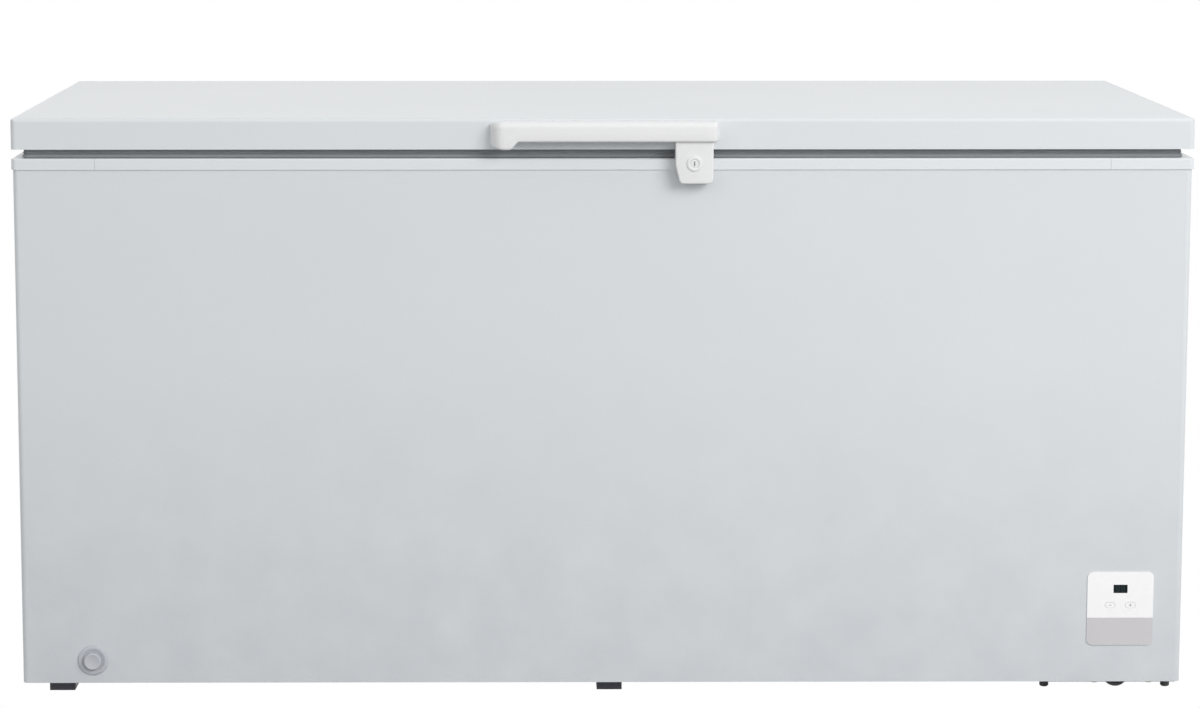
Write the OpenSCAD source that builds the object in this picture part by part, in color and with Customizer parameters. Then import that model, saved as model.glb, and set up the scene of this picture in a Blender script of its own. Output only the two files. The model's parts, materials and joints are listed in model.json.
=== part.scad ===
// Chest freezer with a counterbalanced lid, key lock, drain, control panel and rollers.
// Units are millimetres. The front faces -Y, +X is to the right of someone facing it, +Z is up.
// The origin is on the floor, under the middle of the whole freezer's box.

/* [Cabinet] */
// Width of the lid and the rim
cabinet_w = 1655; // [1350:5:2000]
// Depth of the lid and the rim, front to back
cabinet_d = 700; // [600:5:850]
// Height of the steel body under the rim
body_h = 735; // [600:5:900]
// Space between the floor and the body
ground_gap = 22; // [20:1:30]
// How far the body's faces sit in from the rim
body_inset = 2; // [1:0.5:4]
// Radius of the upright corners
corner_r = 8; // [6:1:12]
// Thickness of the steel sheet
sheet_t = 0.8; // [0.6:0.1:1.2]
// Width of the flanges that the wrap turns in at its rear and lower edges
wrap_flange = 16; // [12:1:20]

/* [Tub] */
// Thickness of the insulated walls
wall_t = 68; // [55:1:85]
// Thickness of the insulated floor
floor_t = 65; // [55:1:85]
// Thickness of the liner sheet
liner_t = 1; // [0.8:0.1:1.5]
// Radius of the tub's upright corners
liner_r = 12; // [10:1:20]

/* [Machine bay] */
// Width of the machine bay inside the right end
bay_w = 195; // [185:1:240]
// Height of the machine bay
bay_h = 230; // [215:1:280]
// Insulation between the bay and the tub
bay_wall_t = 55; // [45:1:70]
// Diameter of the compressor shell
compressor_d = 150; // [130:1:165]
// Height of the compressor shell
compressor_h = 160; // [130:1:175]

/* [Rim] */
// Height of the rim's outer face
rim_h = 15.5; // [12:0.5:20]
// Thickness of the rim's walls
rim_t = 3; // [2:0.5:4]
// Depth of the rim's lip inside the tub
rim_lip = 25; // [15:1:35]
// Length of a rim corner piece
rim_corner = 117; // [90:1:140]

/* [Lid] */
// Height of the lid's outer face
lid_h = 43.5; // [35:0.5:60]
// Space between the rim and the lid, which the gasket fills
lid_gap = 13; // [10:0.5:18]
// Radius of the lid's top edges
lid_edge_r = 5; // [3:0.5:8]
// How far the lid liner's raised panel reaches down
plug_depth = 20; // [15:1:25]
// How far the gasket sits in from the lid's edge
gasket_inset = 14; // [10:1:20]
// Width of the gasket
gasket_w = 20; // [16:1:24]

/* [Handle and lock] */
// Length of the handle
handle_l = 320.5; // [260:0.5:380]
// How far the handle stands out from the lid
handle_proud = 28; // [24:0.5:36]
// Height of the handle's bar
handle_bar_h = 28; // [22:0.5:32]
// Middle of the handle, from the middle of the lid
handle_x = 2.25; // [-300:0.25:300]
// Width of the lock housing
lock_w = 53; // [48:0.5:60]
// Height of the lock housing
lock_h = 59; // [54:0.5:66]
// Radius of the lock barrel
barrel_r = 9; // [7:0.5:10]

/* [Hinges] */
// Distance from the rim's end to the middle of the nearer hinge
hinge_in = 267.5; // [200:0.5:320]
// Radius of the hinge pin
pin_r = 3; // [2.5:0.25:4]
// Distance from the lid's rear edge back to the hinge pin
pin_back = 7; // [6.6:0.1:8]

/* [Drain and panel] */
// Distance from the rim's left end to the middle of the drain outlet
drain_in = 102.5; // [90:0.5:140]
// Height of the drain outlet above the floor
drain_z = 55; // [50:1:58]
// Outer diameter of the drain tube
drain_tube_d = 22; // [18:1:24]
// Width of the control panel
panel_w = 94; // [90:1:110]
// Height of the control panel
panel_h = 106; // [100:1:116]
// Height of the control panel's lower edge above the floor
panel_z = 75.5; // [65:0.5:90]

/* [Rollers and feet] */
// Radius of a roller
roller_r = 10; // [8:0.25:10]
// Width of a roller
roller_w = 13; // [10:0.5:16]
// Width of a base rail
rail_w = 36; // [32:1:44]
// Distance of the front rollers behind the front
roller_setback = 46; // [40:1:80]

/* [Basket] */
// Width of the wire basket
basket_w = 245; // [200:5:300]
// Height of the wire basket
basket_h = 210; // [150:5:260]
// Diameter of the basket's wires
wire_d = 3; // [2.5:0.5:4]

/* [Hidden] */
$fn = 48;

// Clearances
seam_gap = 0.3;       // between pieces of the rim and round moving pieces
seal_gap = 0.3;       // between the gasket and the rim
spin_gap = 0.05;      // round a turning shaft
key_gap = 0.35;       // round a button in its hole
button_travel = 0.8;

// Heights
z_body = ground_gap;
z_rim = z_body + body_h;
z_rim_top = z_rim + rim_h;
z_lid = z_rim_top + lid_gap;
z_lid_top = z_lid + lid_h;
z_tub = z_body + floor_t;
z_bay_top = z_body + bay_h;
z_step = z_bay_top + bay_wall_t;
z_foam_top = z_rim_top - rim_t;
z_plug = z_lid - plug_depth;

// Plan of the cabinet
knuckle_r = pin_r + 2.5;
cheek_r = pin_r + 3.5;
depth_all = handle_proud + cabinet_d + pin_back + cheek_r;
y_front = handle_proud - depth_all / 2;
y_back = y_front + cabinet_d;
y_mid = (y_front + y_back) / 2;
y_body = y_front + body_inset;
y_panel = y_back - body_inset - sheet_t;      // rear face of the back panel
skin_in = body_inset + sheet_t;               // inset of the wrap's inner face
body_x = cabinet_w / 2 - body_inset;
skin_x = cabinet_w / 2 - skin_in;
bay_x = body_x - bay_w;

// Tub
tub_in = body_inset + wall_t;
tub_x = cabinet_w / 2 - tub_in;
tub_y0 = y_front + tub_in;
tub_y1 = y_back - tub_in;
tub_step_x = bay_x - bay_wall_t;

// Hinges
pin_y = y_back + pin_back;
pin_z = z_rim_top - 6.5;
arm_w = 44;
cheek_t = 2.5;
bracket_w = arm_w + 16;
ear_w = 8;

// Machine bay
compressor_x = (bay_x + skin_x) / 2;
compressor_y = y_back - 190;
foot_dx = 39;
foot_dy = 78;
tray_t = 1.5;
grommet_h = 14;
z_compressor = z_body + grommet_h + 2;
machine_tube_r = 3;

// Handle and lock
handle_x0 = handle_x - handle_l / 2;
handle_x1 = handle_x + handle_l / 2;
handle_top = z_lid_top - 3;
handle_bottom = handle_top - handle_bar_h;
lock_x = handle_x1 - 36;
lock_z = handle_bottom - 30.5;
lock_x0 = lock_x - lock_w / 2;
lock_x1 = lock_x + lock_w / 2;
lock_z0 = handle_bottom - lock_h;
lock_face = handle_proud - 6;
lock_wall = 3;
cam_front = 12;
cam_t = 2.5;
cam_l = 19;
cam_w = 9;

// Places of the hinges and the drain
hinge_x = cabinet_w / 2 - hinge_in;
drain_x = cabinet_w / 2 - drain_in;

// Coils
coil_r = 4;
low_pitch = 60;
high_pitch = 90;
coil_off_step = 50;
coil_off_bay = 68;
condenser_pitch = (z_rim - z_bay_top - 3 * coil_off_bay - 1) / 3;
evaporator_low = [for (i = [2:-1:0]) z_step - coil_off_step + 3 - i * low_pitch];
evaporator_high = [for (i = [0:2]) z_step + coil_off_step + 3 + i * high_pitch];
evaporator_z = concat(evaporator_low, evaporator_high);
condenser_z = [for (i = [0:3]) z_bay_top + coil_off_bay + i * condenser_pitch];
condenser_bend = 28;

function arc(cx, cy, r, a0, a1, n) =
    [for (i = [0:n]) [cx + r * cos(a0 + (a1 - a0) * i / n), cy + r * sin(a0 + (a1 - a0) * i / n)]];

module rounded_outline(w, d, r) {
    union() {
        square([w - 2 * r, d], center = true);
        square([w, d - 2 * r], center = true);
        for (sx = [-1, 1])
            for (sy = [-1, 1])
                translate([sx * (w / 2 - r), sy * (d / 2 - r)])
                    circle(r = r);
    }
}

// Upright block with rounded upright edges between two corners
module plate_between(x0, x1, y0, y1, z0, z1, r) {
    translate([(x0 + x1) / 2, (y0 + y1) / 2, z0])
        linear_extrude(height = z1 - z0)
            rounded_outline(x1 - x0, y1 - y0, r);
}

module box_between(x0, x1, y0, y1, z0, z1) {
    translate([x0, y0, z0])
        cube([x1 - x0, y1 - y0, z1 - z0]);
}

// Slab over the whole plan, set in from the rim's outer faces
module slab(inset, z0, z1, r) {
    plate_between(-cabinet_w / 2 + inset, cabinet_w / 2 - inset, y_front + inset, y_back - inset, z0, z1, r);
}

module ring_slab(inset0, inset1, z0, z1, r0, r1) {
    difference() {
        slab(inset0, z0, z1, r0);
        slab(inset1, z0 - 1, z1 + 1, r1);
    }
}

// Cylinders along X and Y
module rod_x(x0, x1, y, z, r) {
    translate([x0, y, z])
        rotate([0, 90, 0])
            cylinder(r = r, h = x1 - x0);
}

module rod_y(x, y0, y1, z, r) {
    translate([x, y0, z])
        rotate([-90, 0, 0])
            cylinder(r = r, h = y1 - y0);
}

module rod_z(x, y, z0, z1, r) {
    translate([x, y, z0])
        cylinder(r = r, h = z1 - z0);
}

// Flat outline in X and Z, given depth along Y
module extrude_y(y0, y1) {
    translate([0, y1, 0])
        rotate([90, 0, 0])
            linear_extrude(height = y1 - y0)
                children();
}

// Flat outline in Y and Z, given length along X
module extrude_x(x0, x1) {
    translate([x0, 0, 0])
        rotate([90, 0, 90])
            linear_extrude(height = x1 - x0)
                children();
}

// Closed loop of round tube in a level plane
module tube_loop(x0, x1, y0, y1, z, bend, r) {
    union() {
        for (y = [y0, y1])
            rod_x(x0 + bend, x1 - bend, y, z, r);
        for (x = [x0, x1])
            rod_y(x, y0 + bend, y1 - bend, z, r);
        for (c = [[x0, y0, 180], [x1, y0, 270], [x1, y1, 0], [x0, y1, 90]])
            translate([c[0] == x0 ? x0 + bend : x1 - bend, c[1] == y0 ? y0 + bend : y1 - bend, z])
                rotate([0, 0, c[2]])
                    rotate_extrude(angle = 90)
                        translate([bend, 0])
                            circle(r = r);
    }
}

// Round pipe along straight runs with ball corners
module pipe(points, r) {
    union() {
        for (i = [1:len(points) - 1]) {
            run = points[i] - points[i - 1];
            translate(points[i - 1])
                rotate([0, acos(run[2] / norm(run)), atan2(run[1], run[0])])
                    cylinder(r = r, h = norm(run));
            if (i < len(points) - 1)
                translate(points[i])
                    sphere(r = r);
        }
    }
}

module tub_space(grow, z_top) {
    union() {
        plate_between(-tub_x - grow, tub_step_x + grow, tub_y0 - grow, tub_y1 + grow,
            z_tub - grow, z_top, liner_r + grow);
        plate_between(-tub_x - grow, tub_x + grow, tub_y0 - grow, tub_y1 + grow,
            z_step - grow, z_top, liner_r + grow);
    }
}

// Tube that leads from the tub's floor down and out of the front
drain_bend = 16;
drain_y = tub_y0 + 45;

module drain_path(r, y_out, z_in) {
    union() {
        rod_z(-drain_x, drain_y, drain_z + drain_bend, z_in, r);
        translate([-drain_x, drain_y - drain_bend, drain_z + drain_bend])
            rotate([0, 90, 0])
                rotate_extrude(angle = 90)
                    translate([drain_bend, 0])
                        circle(r = r);
        rod_y(-drain_x, y_out, drain_y - drain_bend, drain_z, r);
    }
}

panel_x1 = body_x - 41;
panel_x0 = panel_x1 - panel_w;
panel_cx = (panel_x0 + panel_x1) / 2;
panel_z1 = panel_z + panel_h;
panel_split = panel_z + 0.375 * panel_h;
panel_face = y_body - 1.6;
panel_tuck = 4;                               // how far the panel laps over its hole
panel_box_d = 24;
key_z = panel_split + 18.5;
key_dx = 14.5;
display_z = panel_split + 42;

module cabinet_wrap() {
    color([0.85, 0.87, 0.88])
        difference() {
            slab(body_inset, z_body, z_rim, corner_r);
            slab(skin_in, z_body + sheet_t, z_rim + 1, corner_r - sheet_t);
            slab(body_inset + wrap_flange, z_body - 1, z_rim, corner_r);
            box_between(-body_x + wrap_flange, body_x - wrap_flange, y_mid, y_back + 1, z_body - 1, z_rim + 1);
            rod_y(-drain_x, y_front, y_body + 5, drain_z, drain_tube_d / 2);
            box_between(panel_x0 + panel_tuck, panel_x1 - panel_tuck, y_front, y_body + 5,
                panel_z + panel_tuck, panel_z1 - panel_tuck);
            for (s = tray_screws)
                rod_z(s[0], s[1], z_body - 1, z_body + 2, screw_r);
        }
}

screw_r = 2;
tray_x0 = bay_x + 2;
tray_x1 = body_x - 3;
tray_y0 = y_body + 4;
tray_y1 = y_back - body_inset - 4;
tray_screws = [for (dx = [-foot_dx, foot_dx]) [compressor_x + 16 + dx, y_body + 10]];

module back_panel() {
    color([0.75, 0.77, 0.78])
        difference() {
            box_between(-skin_x + corner_r, skin_x - corner_r, y_panel - sheet_t, y_panel, z_body + 2 * sheet_t, z_rim);
            box_between(bay_x - sheet_t, skin_x, y_panel - 5, y_panel + 5, z_body, z_bay_top + sheet_t);
        }
}

module bottom_panel() {
    color([0.7, 0.71, 0.72])
        intersection() {
            slab(skin_in, z_body + sheet_t, z_body + 2 * sheet_t, corner_r - sheet_t);
            box_between(-skin_x, bay_x - sheet_t, y_front, y_panel, z_body, z_tub);
        }
}

module bay_panel() {
    color([0.7, 0.71, 0.72])
        difference() {
            intersection() {
                slab(skin_in, z_body + sheet_t, z_bay_top + sheet_t, corner_r - sheet_t);
                box_between(bay_x - sheet_t, skin_x, y_front, y_panel, z_body, z_tub + bay_h);
            }
            box_between(bay_x, skin_x + 1, y_front, y_back, z_body, z_bay_top);
        }
}

module foam_insulation() {
    groove = 2 * coil_r;
    color([0.93, 0.87, 0.68])
        difference() {
            union() {
                slab(skin_in, z_body + 2 * sheet_t, z_rim, corner_r - sheet_t);
                slab(rim_t, z_rim - 1, z_foam_top, corner_r - sheet_t);
            }
            box_between(-cabinet_w, cabinet_w, y_panel - sheet_t, y_back + 1, 0, z_rim);
            box_between(bay_x - sheet_t, cabinet_w, y_front - 1, y_back + 1, 0, z_bay_top + sheet_t);
            tub_space(liner_t, z_lid);
            for (z = evaporator_z)
                evaporator_groove(z, groove);
            box_between(-coil_r, coil_r, tub_y1, tub_y1 + liner_t + groove,
                evaporator_z[0], evaporator_z[len(evaporator_z) - 1]);
            for (z = condenser_z)
                difference() {
                    slab(skin_in, z - coil_r, z + coil_r, corner_r - sheet_t);
                    plate_between(-skin_x + groove, skin_x - groove, y_body + sheet_t + groove,
                        y_panel - sheet_t - groove, z - groove, z + groove, condenser_bend - coil_r);
                }
            box_between(-coil_r, coil_r, y_panel - sheet_t - groove, y_panel,
                condenser_z[0], condenser_z[len(condenser_z) - 1]);
            drain_path(drain_tube_d / 2, y_front, z_tub + 1);
        }
}

module evaporator_groove(z, groove) {
    x1 = z > z_step ? tub_x : tub_step_x;
    plate_between(-tub_x - liner_t - groove, x1 + liner_t + groove, tub_y0 - liner_t - groove,
        tub_y1 + liner_t + groove, z - coil_r, z + coil_r, liner_r + liner_t + groove);
}

module inner_liner() {
    color([0.86, 0.87, 0.88])
        difference() {
            tub_space(liner_t, z_foam_top);
            tub_space(0, z_lid);
            rod_z(-drain_x, drain_y, z_tub - 5, z_tub + 5, drain_tube_d / 2);
        }
}

module rim_ring() {
    chamfer = 2.5;
    difference() {
        union() {
            ring_slab(0, rim_t, z_rim, z_rim_top, corner_r, corner_r - rim_t + 1);
            ring_slab(0, tub_in + rim_t, z_foam_top, z_rim_top, corner_r, liner_r - rim_t);
            ring_slab(tub_in, tub_in + rim_t, z_rim_top - rim_lip, z_rim_top, liner_r, liner_r - rim_t);
        }
        for (y = [y_front, y_back])
            translate([0, y, z_rim_top])
                rotate([45, 0, 0])
                    cube([cabinet_w + 10, chamfer, chamfer], center = true);
        for (x = [-cabinet_w / 2, cabinet_w / 2])
            translate([x, y_mid, z_rim_top])
                rotate([0, 45, 0])
                    cube([chamfer, cabinet_d + 10, chamfer], center = true);
    }
}

module rim_rail_x(y0, y1) {
    run = cabinet_w / 2 - rim_corner - seam_gap;
    color([0.86, 0.88, 0.89])
        intersection() {
            rim_ring();
            box_between(-run, run, y0, y1, 0, z_lid);
        }
}

module rim_rail_y(x0, x1) {
    color([0.86, 0.88, 0.89])
        intersection() {
            rim_ring();
            box_between(x0, x1, y_front + rim_corner + seam_gap, y_back - rim_corner - seam_gap, 0, z_lid);
        }
}

module rim_corner_piece(sx, sy) {
    x = sx * (cabinet_w / 2 - rim_corner / 2);
    y = y_mid + sy * (cabinet_d / 2 - rim_corner / 2);
    color([0.87, 0.89, 0.9])
        intersection() {
            rim_ring();
            translate([x, y, z_rim])
                cube([rim_corner, rim_corner, 200], center = true);
        }
}

module evaporator_coil() {
    offset_in = liner_t + coil_r;
    color([0.8, 0.55, 0.35])
        union() {
            for (z = evaporator_z)
                tube_loop(-tub_x - offset_in, (z > z_step ? tub_x : tub_step_x) + offset_in,
                    tub_y0 - offset_in, tub_y1 + offset_in, z, liner_r + offset_in, coil_r);
            rod_z(0, tub_y1 + offset_in, evaporator_z[0], evaporator_z[len(evaporator_z) - 1], coil_r);
        }
}

module condenser_coil() {
    color([0.3, 0.31, 0.32])
        union() {
            for (z = condenser_z)
                tube_loop(-skin_x + coil_r, skin_x - coil_r, y_body + sheet_t + coil_r,
                    y_panel - sheet_t - coil_r, z, condenser_bend, coil_r);
            rod_z(0, y_panel - sheet_t - coil_r, condenser_z[0], condenser_z[len(condenser_z) - 1], coil_r);
        }
}

module compressor() {
    r = compressor_d / 2;
    dome = 38;
    dome_r = (r * r + dome * dome) / (2 * dome);
    half = asin(r / dome_r);
    top_z = compressor_h - dome;
    low_z = dome;
    color([0.12, 0.12, 0.13])
        translate([compressor_x, compressor_y, z_compressor])
            union() {
                rotate_extrude()
                    polygon(concat(
                        arc(0, low_z + dome_r - dome, dome_r, -90, -90 + half, 8),
                        arc(0, top_z + dome - dome_r, dome_r, 90 - half, 90, 8)));
                translate([0, 0, compressor_h * 0.55])
                    cylinder(r = r + 2.5, h = 5);
                difference() {
                    translate([0, 0, 12])
                        linear_extrude(height = 3)
                            rounded_outline(2 * foot_dx + 30, 2 * foot_dy + 30, 12);
                    for (sx = [-1, 1])
                        for (sy = [-1, 1])
                            translate([sx * foot_dx, sy * foot_dy, 0])
                                cylinder(r = 6, h = 30);
                }
                translate([-r * 0.55, -r * 0.45, compressor_h - 24])
                    cylinder(r = machine_tube_r + 1, h = 34);
            }
}

module compressor_grommets() {
    color([0.15, 0.15, 0.16])
        for (sx = [-1, 1])
            for (sy = [-1, 1])
                translate([compressor_x + sx * foot_dx, compressor_y + sy * foot_dy, z_body])
                    rotate_extrude()
                        polygon([[4, 0], [10, 0], [10, grommet_h], [6, grommet_h],
                            [6, grommet_h + 3], [9, grommet_h + 3], [9, grommet_h + 6], [4, grommet_h + 6]]);
}

module compressor_bolts() {
    color([0.6, 0.6, 0.62])
        for (sx = [-1, 1])
            for (sy = [-1, 1])
                translate([compressor_x + sx * foot_dx, compressor_y + sy * foot_dy, 0]) {
                    translate([0, 0, z_body - tray_t - 3])
                        cylinder(r = 5, h = 3);
                    translate([0, 0, z_body - tray_t - 1])
                        cylinder(r = 3.9, h = tray_t + 1 + grommet_h + 6);
                    translate([0, 0, z_body + grommet_h + 6])
                        cylinder(r = 6.5, h = 4, $fn = 6);
                }
}

module compressor_tray() {
    color([0.13, 0.13, 0.14])
        difference() {
            plate_between(tray_x0, tray_x1, tray_y0, tray_y1, z_body - tray_t, z_body, 6);
            for (sx = [-1, 1])
                for (sy = [-1, 1])
                    rod_z(compressor_x + sx * foot_dx, compressor_y + sy * foot_dy, 0, z_body + 1, 3.9);
            for (s = tray_screws)
                rod_z(s[0], s[1], 0, z_body + 1, screw_r);
            for (i = [0:5])
                translate([compressor_x - 60 + 24 * i, compressor_y - 190, z_body - 3])
                    cube([8, 90, 6], center = true);
        }
}

foot_setback = 62;
foot_r = 6.5;
bumper_r = 14.5;
foot_x = [bay_x + foot_r + 4, body_x - foot_r - 3];
bumper_x = panel_cx + 6;

module tray_feet() {
    foot_top = z_body - tray_t;
    sag = 7;
    round_r = (bumper_r * bumper_r + sag * sag) / (2 * sag);
    color([0.12, 0.12, 0.13])
        union() {
            for (x = foot_x)
                for (y = [y_front + foot_setback, y_back - foot_setback])
                    translate([x, y, 0])
                        rotate_extrude()
                            polygon([[0, 0], [foot_r - 1.5, 0], [foot_r, 1.5], [foot_r, foot_top], [0, foot_top]]);
            translate([bumper_x, y_front + foot_setback, 0])
                rotate_extrude()
                    polygon(concat(
                        arc(0, round_r, round_r, -90, -90 + asin(bumper_r / round_r), 10),
                        [[bumper_r, foot_top], [0, foot_top]]));
        }
}

inverter_y = compressor_y - compressor_d / 2 - 75;

module inverter_box() {
    color([0.2, 0.2, 0.21])
        difference() {
            box_between(bay_x, bay_x + 42, inverter_y - 65, inverter_y + 45, z_body + 70, z_body + 170);
            for (i = [0:6])
                box_between(bay_x + 40, bay_x + 43, inverter_y - 52 + 13 * i, inverter_y - 46 + 13 * i,
                    z_body + 85, z_body + 155);
        }
}

drier_x = skin_x - 25;
drier_y = compressor_y - compressor_d / 2 - 30;
drier_z = z_body + 90;
drier_l = 100;

module filter_drier() {
    color([0.75, 0.5, 0.3])
        translate([drier_x, drier_y, drier_z])
            rotate_extrude()
                polygon([[0, 0], [machine_tube_r, 0], [machine_tube_r, 10], [11, 22], [11, 78],
                    [machine_tube_r, 90], [machine_tube_r, drier_l], [0, drier_l]]);
}

stub_x = compressor_x - compressor_d * 0.275;
stub_y = compressor_y - compressor_d * 0.225;
stub_top = z_compressor + compressor_h + 10;

// From the compressor's stub across to the top of the drier
module discharge_pipe() {
    level = stub_top + 10;
    color([0.75, 0.5, 0.3])
        pipe([[stub_x, stub_y, stub_top], [stub_x, stub_y, level], [stub_x, drier_y, level],
            [drier_x, drier_y, level], [drier_x, drier_y, drier_z + drier_l]], machine_tube_r);
}

// From the low side of the compressor's shell up into the insulation
module suction_pipe() {
    low = z_compressor + 45;
    color([0.75, 0.5, 0.3])
        pipe([[compressor_x + compressor_d / 2 + spin_gap, compressor_y, low],
            [skin_x - 6, compressor_y, low], [skin_x - 6, compressor_y, z_bay_top]], machine_tube_r);
}

// Louvred cover at the rear of the machine bay
module bay_cover() {
    cover_t = 2;
    slot_n = 9;
    color([0.16, 0.16, 0.17])
        difference() {
            box_between(bay_x, skin_x - corner_r, y_panel - cover_t, y_panel, z_body + 2, z_bay_top);
            for (i = [0:slot_n - 1])
                box_between(bay_x + 28, skin_x - 50, y_panel - cover_t - 1, y_panel + 1,
                    z_body + 60 + 17 * i, z_body + 66 + 17 * i);
            rod_y(inlet_x, y_panel - 5, y_panel + 5, inlet_z, inlet_r);
            for (x = [bay_x + 10, bay_x + 120])
                for (z = [z_body + 22, z_bay_top - 14])
                    rod_y(x, y_panel - 5, y_panel + 5, z, screw_r);
        }
}

inlet_r = 9;
inlet_x = bay_x + 40;
inlet_z = z_body + 32;

// Rubber bush that the supply lead would pass through
module cord_inlet() {
    color([0.1, 0.1, 0.11])
        translate([inlet_x, y_panel + 8, inlet_z])
            rotate([90, 0, 0])
                difference() {
                    union() {
                        cylinder(r = inlet_r + 3, h = 8);
                        cylinder(r = inlet_r, h = 14);
                    }
                    translate([0, 0, -1])
                        cylinder(r = 4, h = 20);
                }
}

module drain_tube() {
    color([0.9, 0.9, 0.9])
        difference() {
            drain_path(drain_tube_d / 2, y_body, z_tub);
            drain_path(drain_tube_d / 2 - 2.5, y_front - 1, z_tub + 1);
        }
}

drain_bore_r = drain_tube_d / 2 - 2.5;
bezel_r = 21.5;
bezel_t = 3;
plug_stem_r = drain_bore_r - 0.3;

module drain_bezel() {
    color([0.78, 0.79, 0.81])
        translate([-drain_x, y_body, drain_z])
            rotate([90, 0, 0])
                rotate_extrude()
                    polygon([[drain_bore_r, 0], [bezel_r, 0], [bezel_r, 1], [bezel_r - 2, bezel_t],
                        [bezel_r - 6, bezel_t], [bezel_r - 7.5, 1.6], [drain_bore_r, 1.6]]);
}

module drain_plug() {
    knob_r = 12.5;
    color([0.72, 0.73, 0.76])
        translate([-drain_x, y_body - 1.9, drain_z])
            rotate([90, 0, 0])
                difference() {
                    rotate_extrude()
                        polygon(concat([[0, -20], [plug_stem_r - 1, -20], [plug_stem_r, -18], [plug_stem_r, 0],
                            [knob_r, 0]], arc(knob_r - 2, 6, 2, 0, 90, 4), [[0, 8]]));
                    for (s = [-1, 1])
                        translate([s * (knob_r - 1.5), 0, 7])
                            cube([7, 4, 6], center = true);
                }
}

module tub_plug() {
    cap_r = 17;
    color([0.8, 0.81, 0.83])
        translate([-drain_x, drain_y, z_tub + 0.1])
            rotate_extrude()
                polygon(concat([[0, -12], [plug_stem_r - 1, -12], [plug_stem_r, -10], [plug_stem_r, 0],
                    [cap_r, 0], [cap_r, 1.5]], arc(cap_r - 3, 1.5, 3, 0, 90, 4), [[5, 4.5], [5, 9], [0, 9]]));
}

module key_outline(grow) {
    union() {
        square([6, 8 + 2 * grow], center = true);
        for (s = [-1, 1])
            translate([s * 3, 0])
                circle(r = 4 + grow);
    }
}

module control_panel() {
    depth = panel_box_d;
    color([0.96, 0.96, 0.97])
        difference() {
            union() {
                extrude_y(panel_face, y_body)
                    translate([panel_cx, panel_z + panel_h / 2])
                        rounded_outline(panel_w, panel_h, 8);
                box_between(panel_x0 + panel_tuck + 0.5, panel_x1 - panel_tuck - 0.5, y_body - 0.1,
                    y_body + depth, panel_z + panel_tuck + 0.5, panel_z1 - panel_tuck - 0.5);
            }
            box_between(panel_x0 + panel_tuck + 3, panel_x1 - panel_tuck - 3, y_body + 2,
                y_body + depth + 1, panel_z + panel_tuck + 3, panel_z1 - panel_tuck - 3);
            box_between(panel_x0 - 1, panel_x1 + 1, panel_face - 1, panel_face + 0.8, panel_z - 1, panel_split);
            box_between(panel_cx - 10, panel_cx + 10, panel_face - 1, y_body + 5, display_z - 6, display_z + 6);
            for (s = [-1, 1])
                extrude_y(panel_face - 1, y_body + 5)
                    translate([panel_cx + s * key_dx, key_z])
                        key_outline(key_gap);
        }
}

module panel_strip() {
    color([0.82, 0.81, 0.82])
        extrude_y(panel_face, panel_face + 0.8)
            intersection() {
                translate([panel_cx, panel_z + panel_h / 2])
                    rounded_outline(panel_w, panel_h, 8);
                translate([panel_x0 - 1, panel_z - 1])
                    square([panel_w + 2, panel_split - panel_z + 1 - 0.2]);
            }
}

module display_window() {
    color([0.08, 0.1, 0.11])
        box_between(panel_cx - 10, panel_cx + 10, panel_face + 0.1, y_body + 2, display_z - 6, display_z + 6);
}

module button(side) {
    x = panel_cx + side * key_dx;
    color([0.94, 0.94, 0.95])
        union() {
            extrude_y(panel_face - 0.3, y_body + 2.2)
                translate([x, key_z])
                    key_outline(0);
            extrude_y(y_body + 2.1, y_body + 3.2)
                translate([x, key_z])
                    key_outline(1.5);
        }
}

// Circuit board in the panel's box, with a switch behind each button
module control_board() {
    board_y = y_body + 9;
    color([0.1, 0.35, 0.2])
        union() {
            box_between(panel_x0 + panel_tuck + 3, panel_x1 - panel_tuck - 3, board_y, board_y + 1.6,
                panel_z + panel_tuck + 3, panel_z1 - panel_tuck - 3);
            for (s = [-1, 1])
                rod_y(panel_cx + s * key_dx, y_body + 3.2 + button_travel + 0.3, board_y + 1, key_z, 2.5);
            box_between(panel_cx - 9, panel_cx + 9, y_body + 2, board_y + 1, display_z - 5, display_z + 5);
        }
}

rail_t = 1.5;
rail_z0 = 4.5;
rail_x = [-cabinet_w / 2 + 54.5, 11];
rail_y0 = y_front + 28;
rail_y1 = y_back - 28;
roller_y = [y_front + roller_setback, y_back - roller_setback];
roller_pin_r = 2.5;

module base_rail(x) {
    color([0.29, 0.29, 0.31])
        difference() {
            box_between(x - rail_w / 2, x + rail_w / 2, rail_y0, rail_y1, rail_z0, z_body);
            box_between(x - rail_w / 2 + rail_t, x + rail_w / 2 - rail_t, rail_y0 + rail_t, rail_y1 - rail_t,
                rail_z0 - 1, z_body - rail_t);
            for (y = roller_y)
                rod_x(x - rail_w, x + rail_w, y, roller_r, roller_pin_r);
        }
}

module roller_pins() {
    color([0.6, 0.6, 0.62])
        for (x = rail_x)
            for (y = roller_y)
                rod_x(x - rail_w / 2, x + rail_w / 2, y, roller_r, roller_pin_r);
}

module roller(x, y) {
    color([0.28, 0.28, 0.3])
        translate([x - roller_w / 2, y, roller_r])
            rotate([0, 90, 0])
                difference() {
                    rotate_extrude()
                        polygon([[0, 0], [roller_r - 1.5, 0], [roller_r, 1.5], [roller_r, roller_w - 1.5],
                            [roller_r - 1.5, roller_w], [0, roller_w]]);
                    translate([0, 0, -1])
                        cylinder(r = roller_pin_r + spin_gap, h = roller_w + 2);
                }
}

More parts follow.
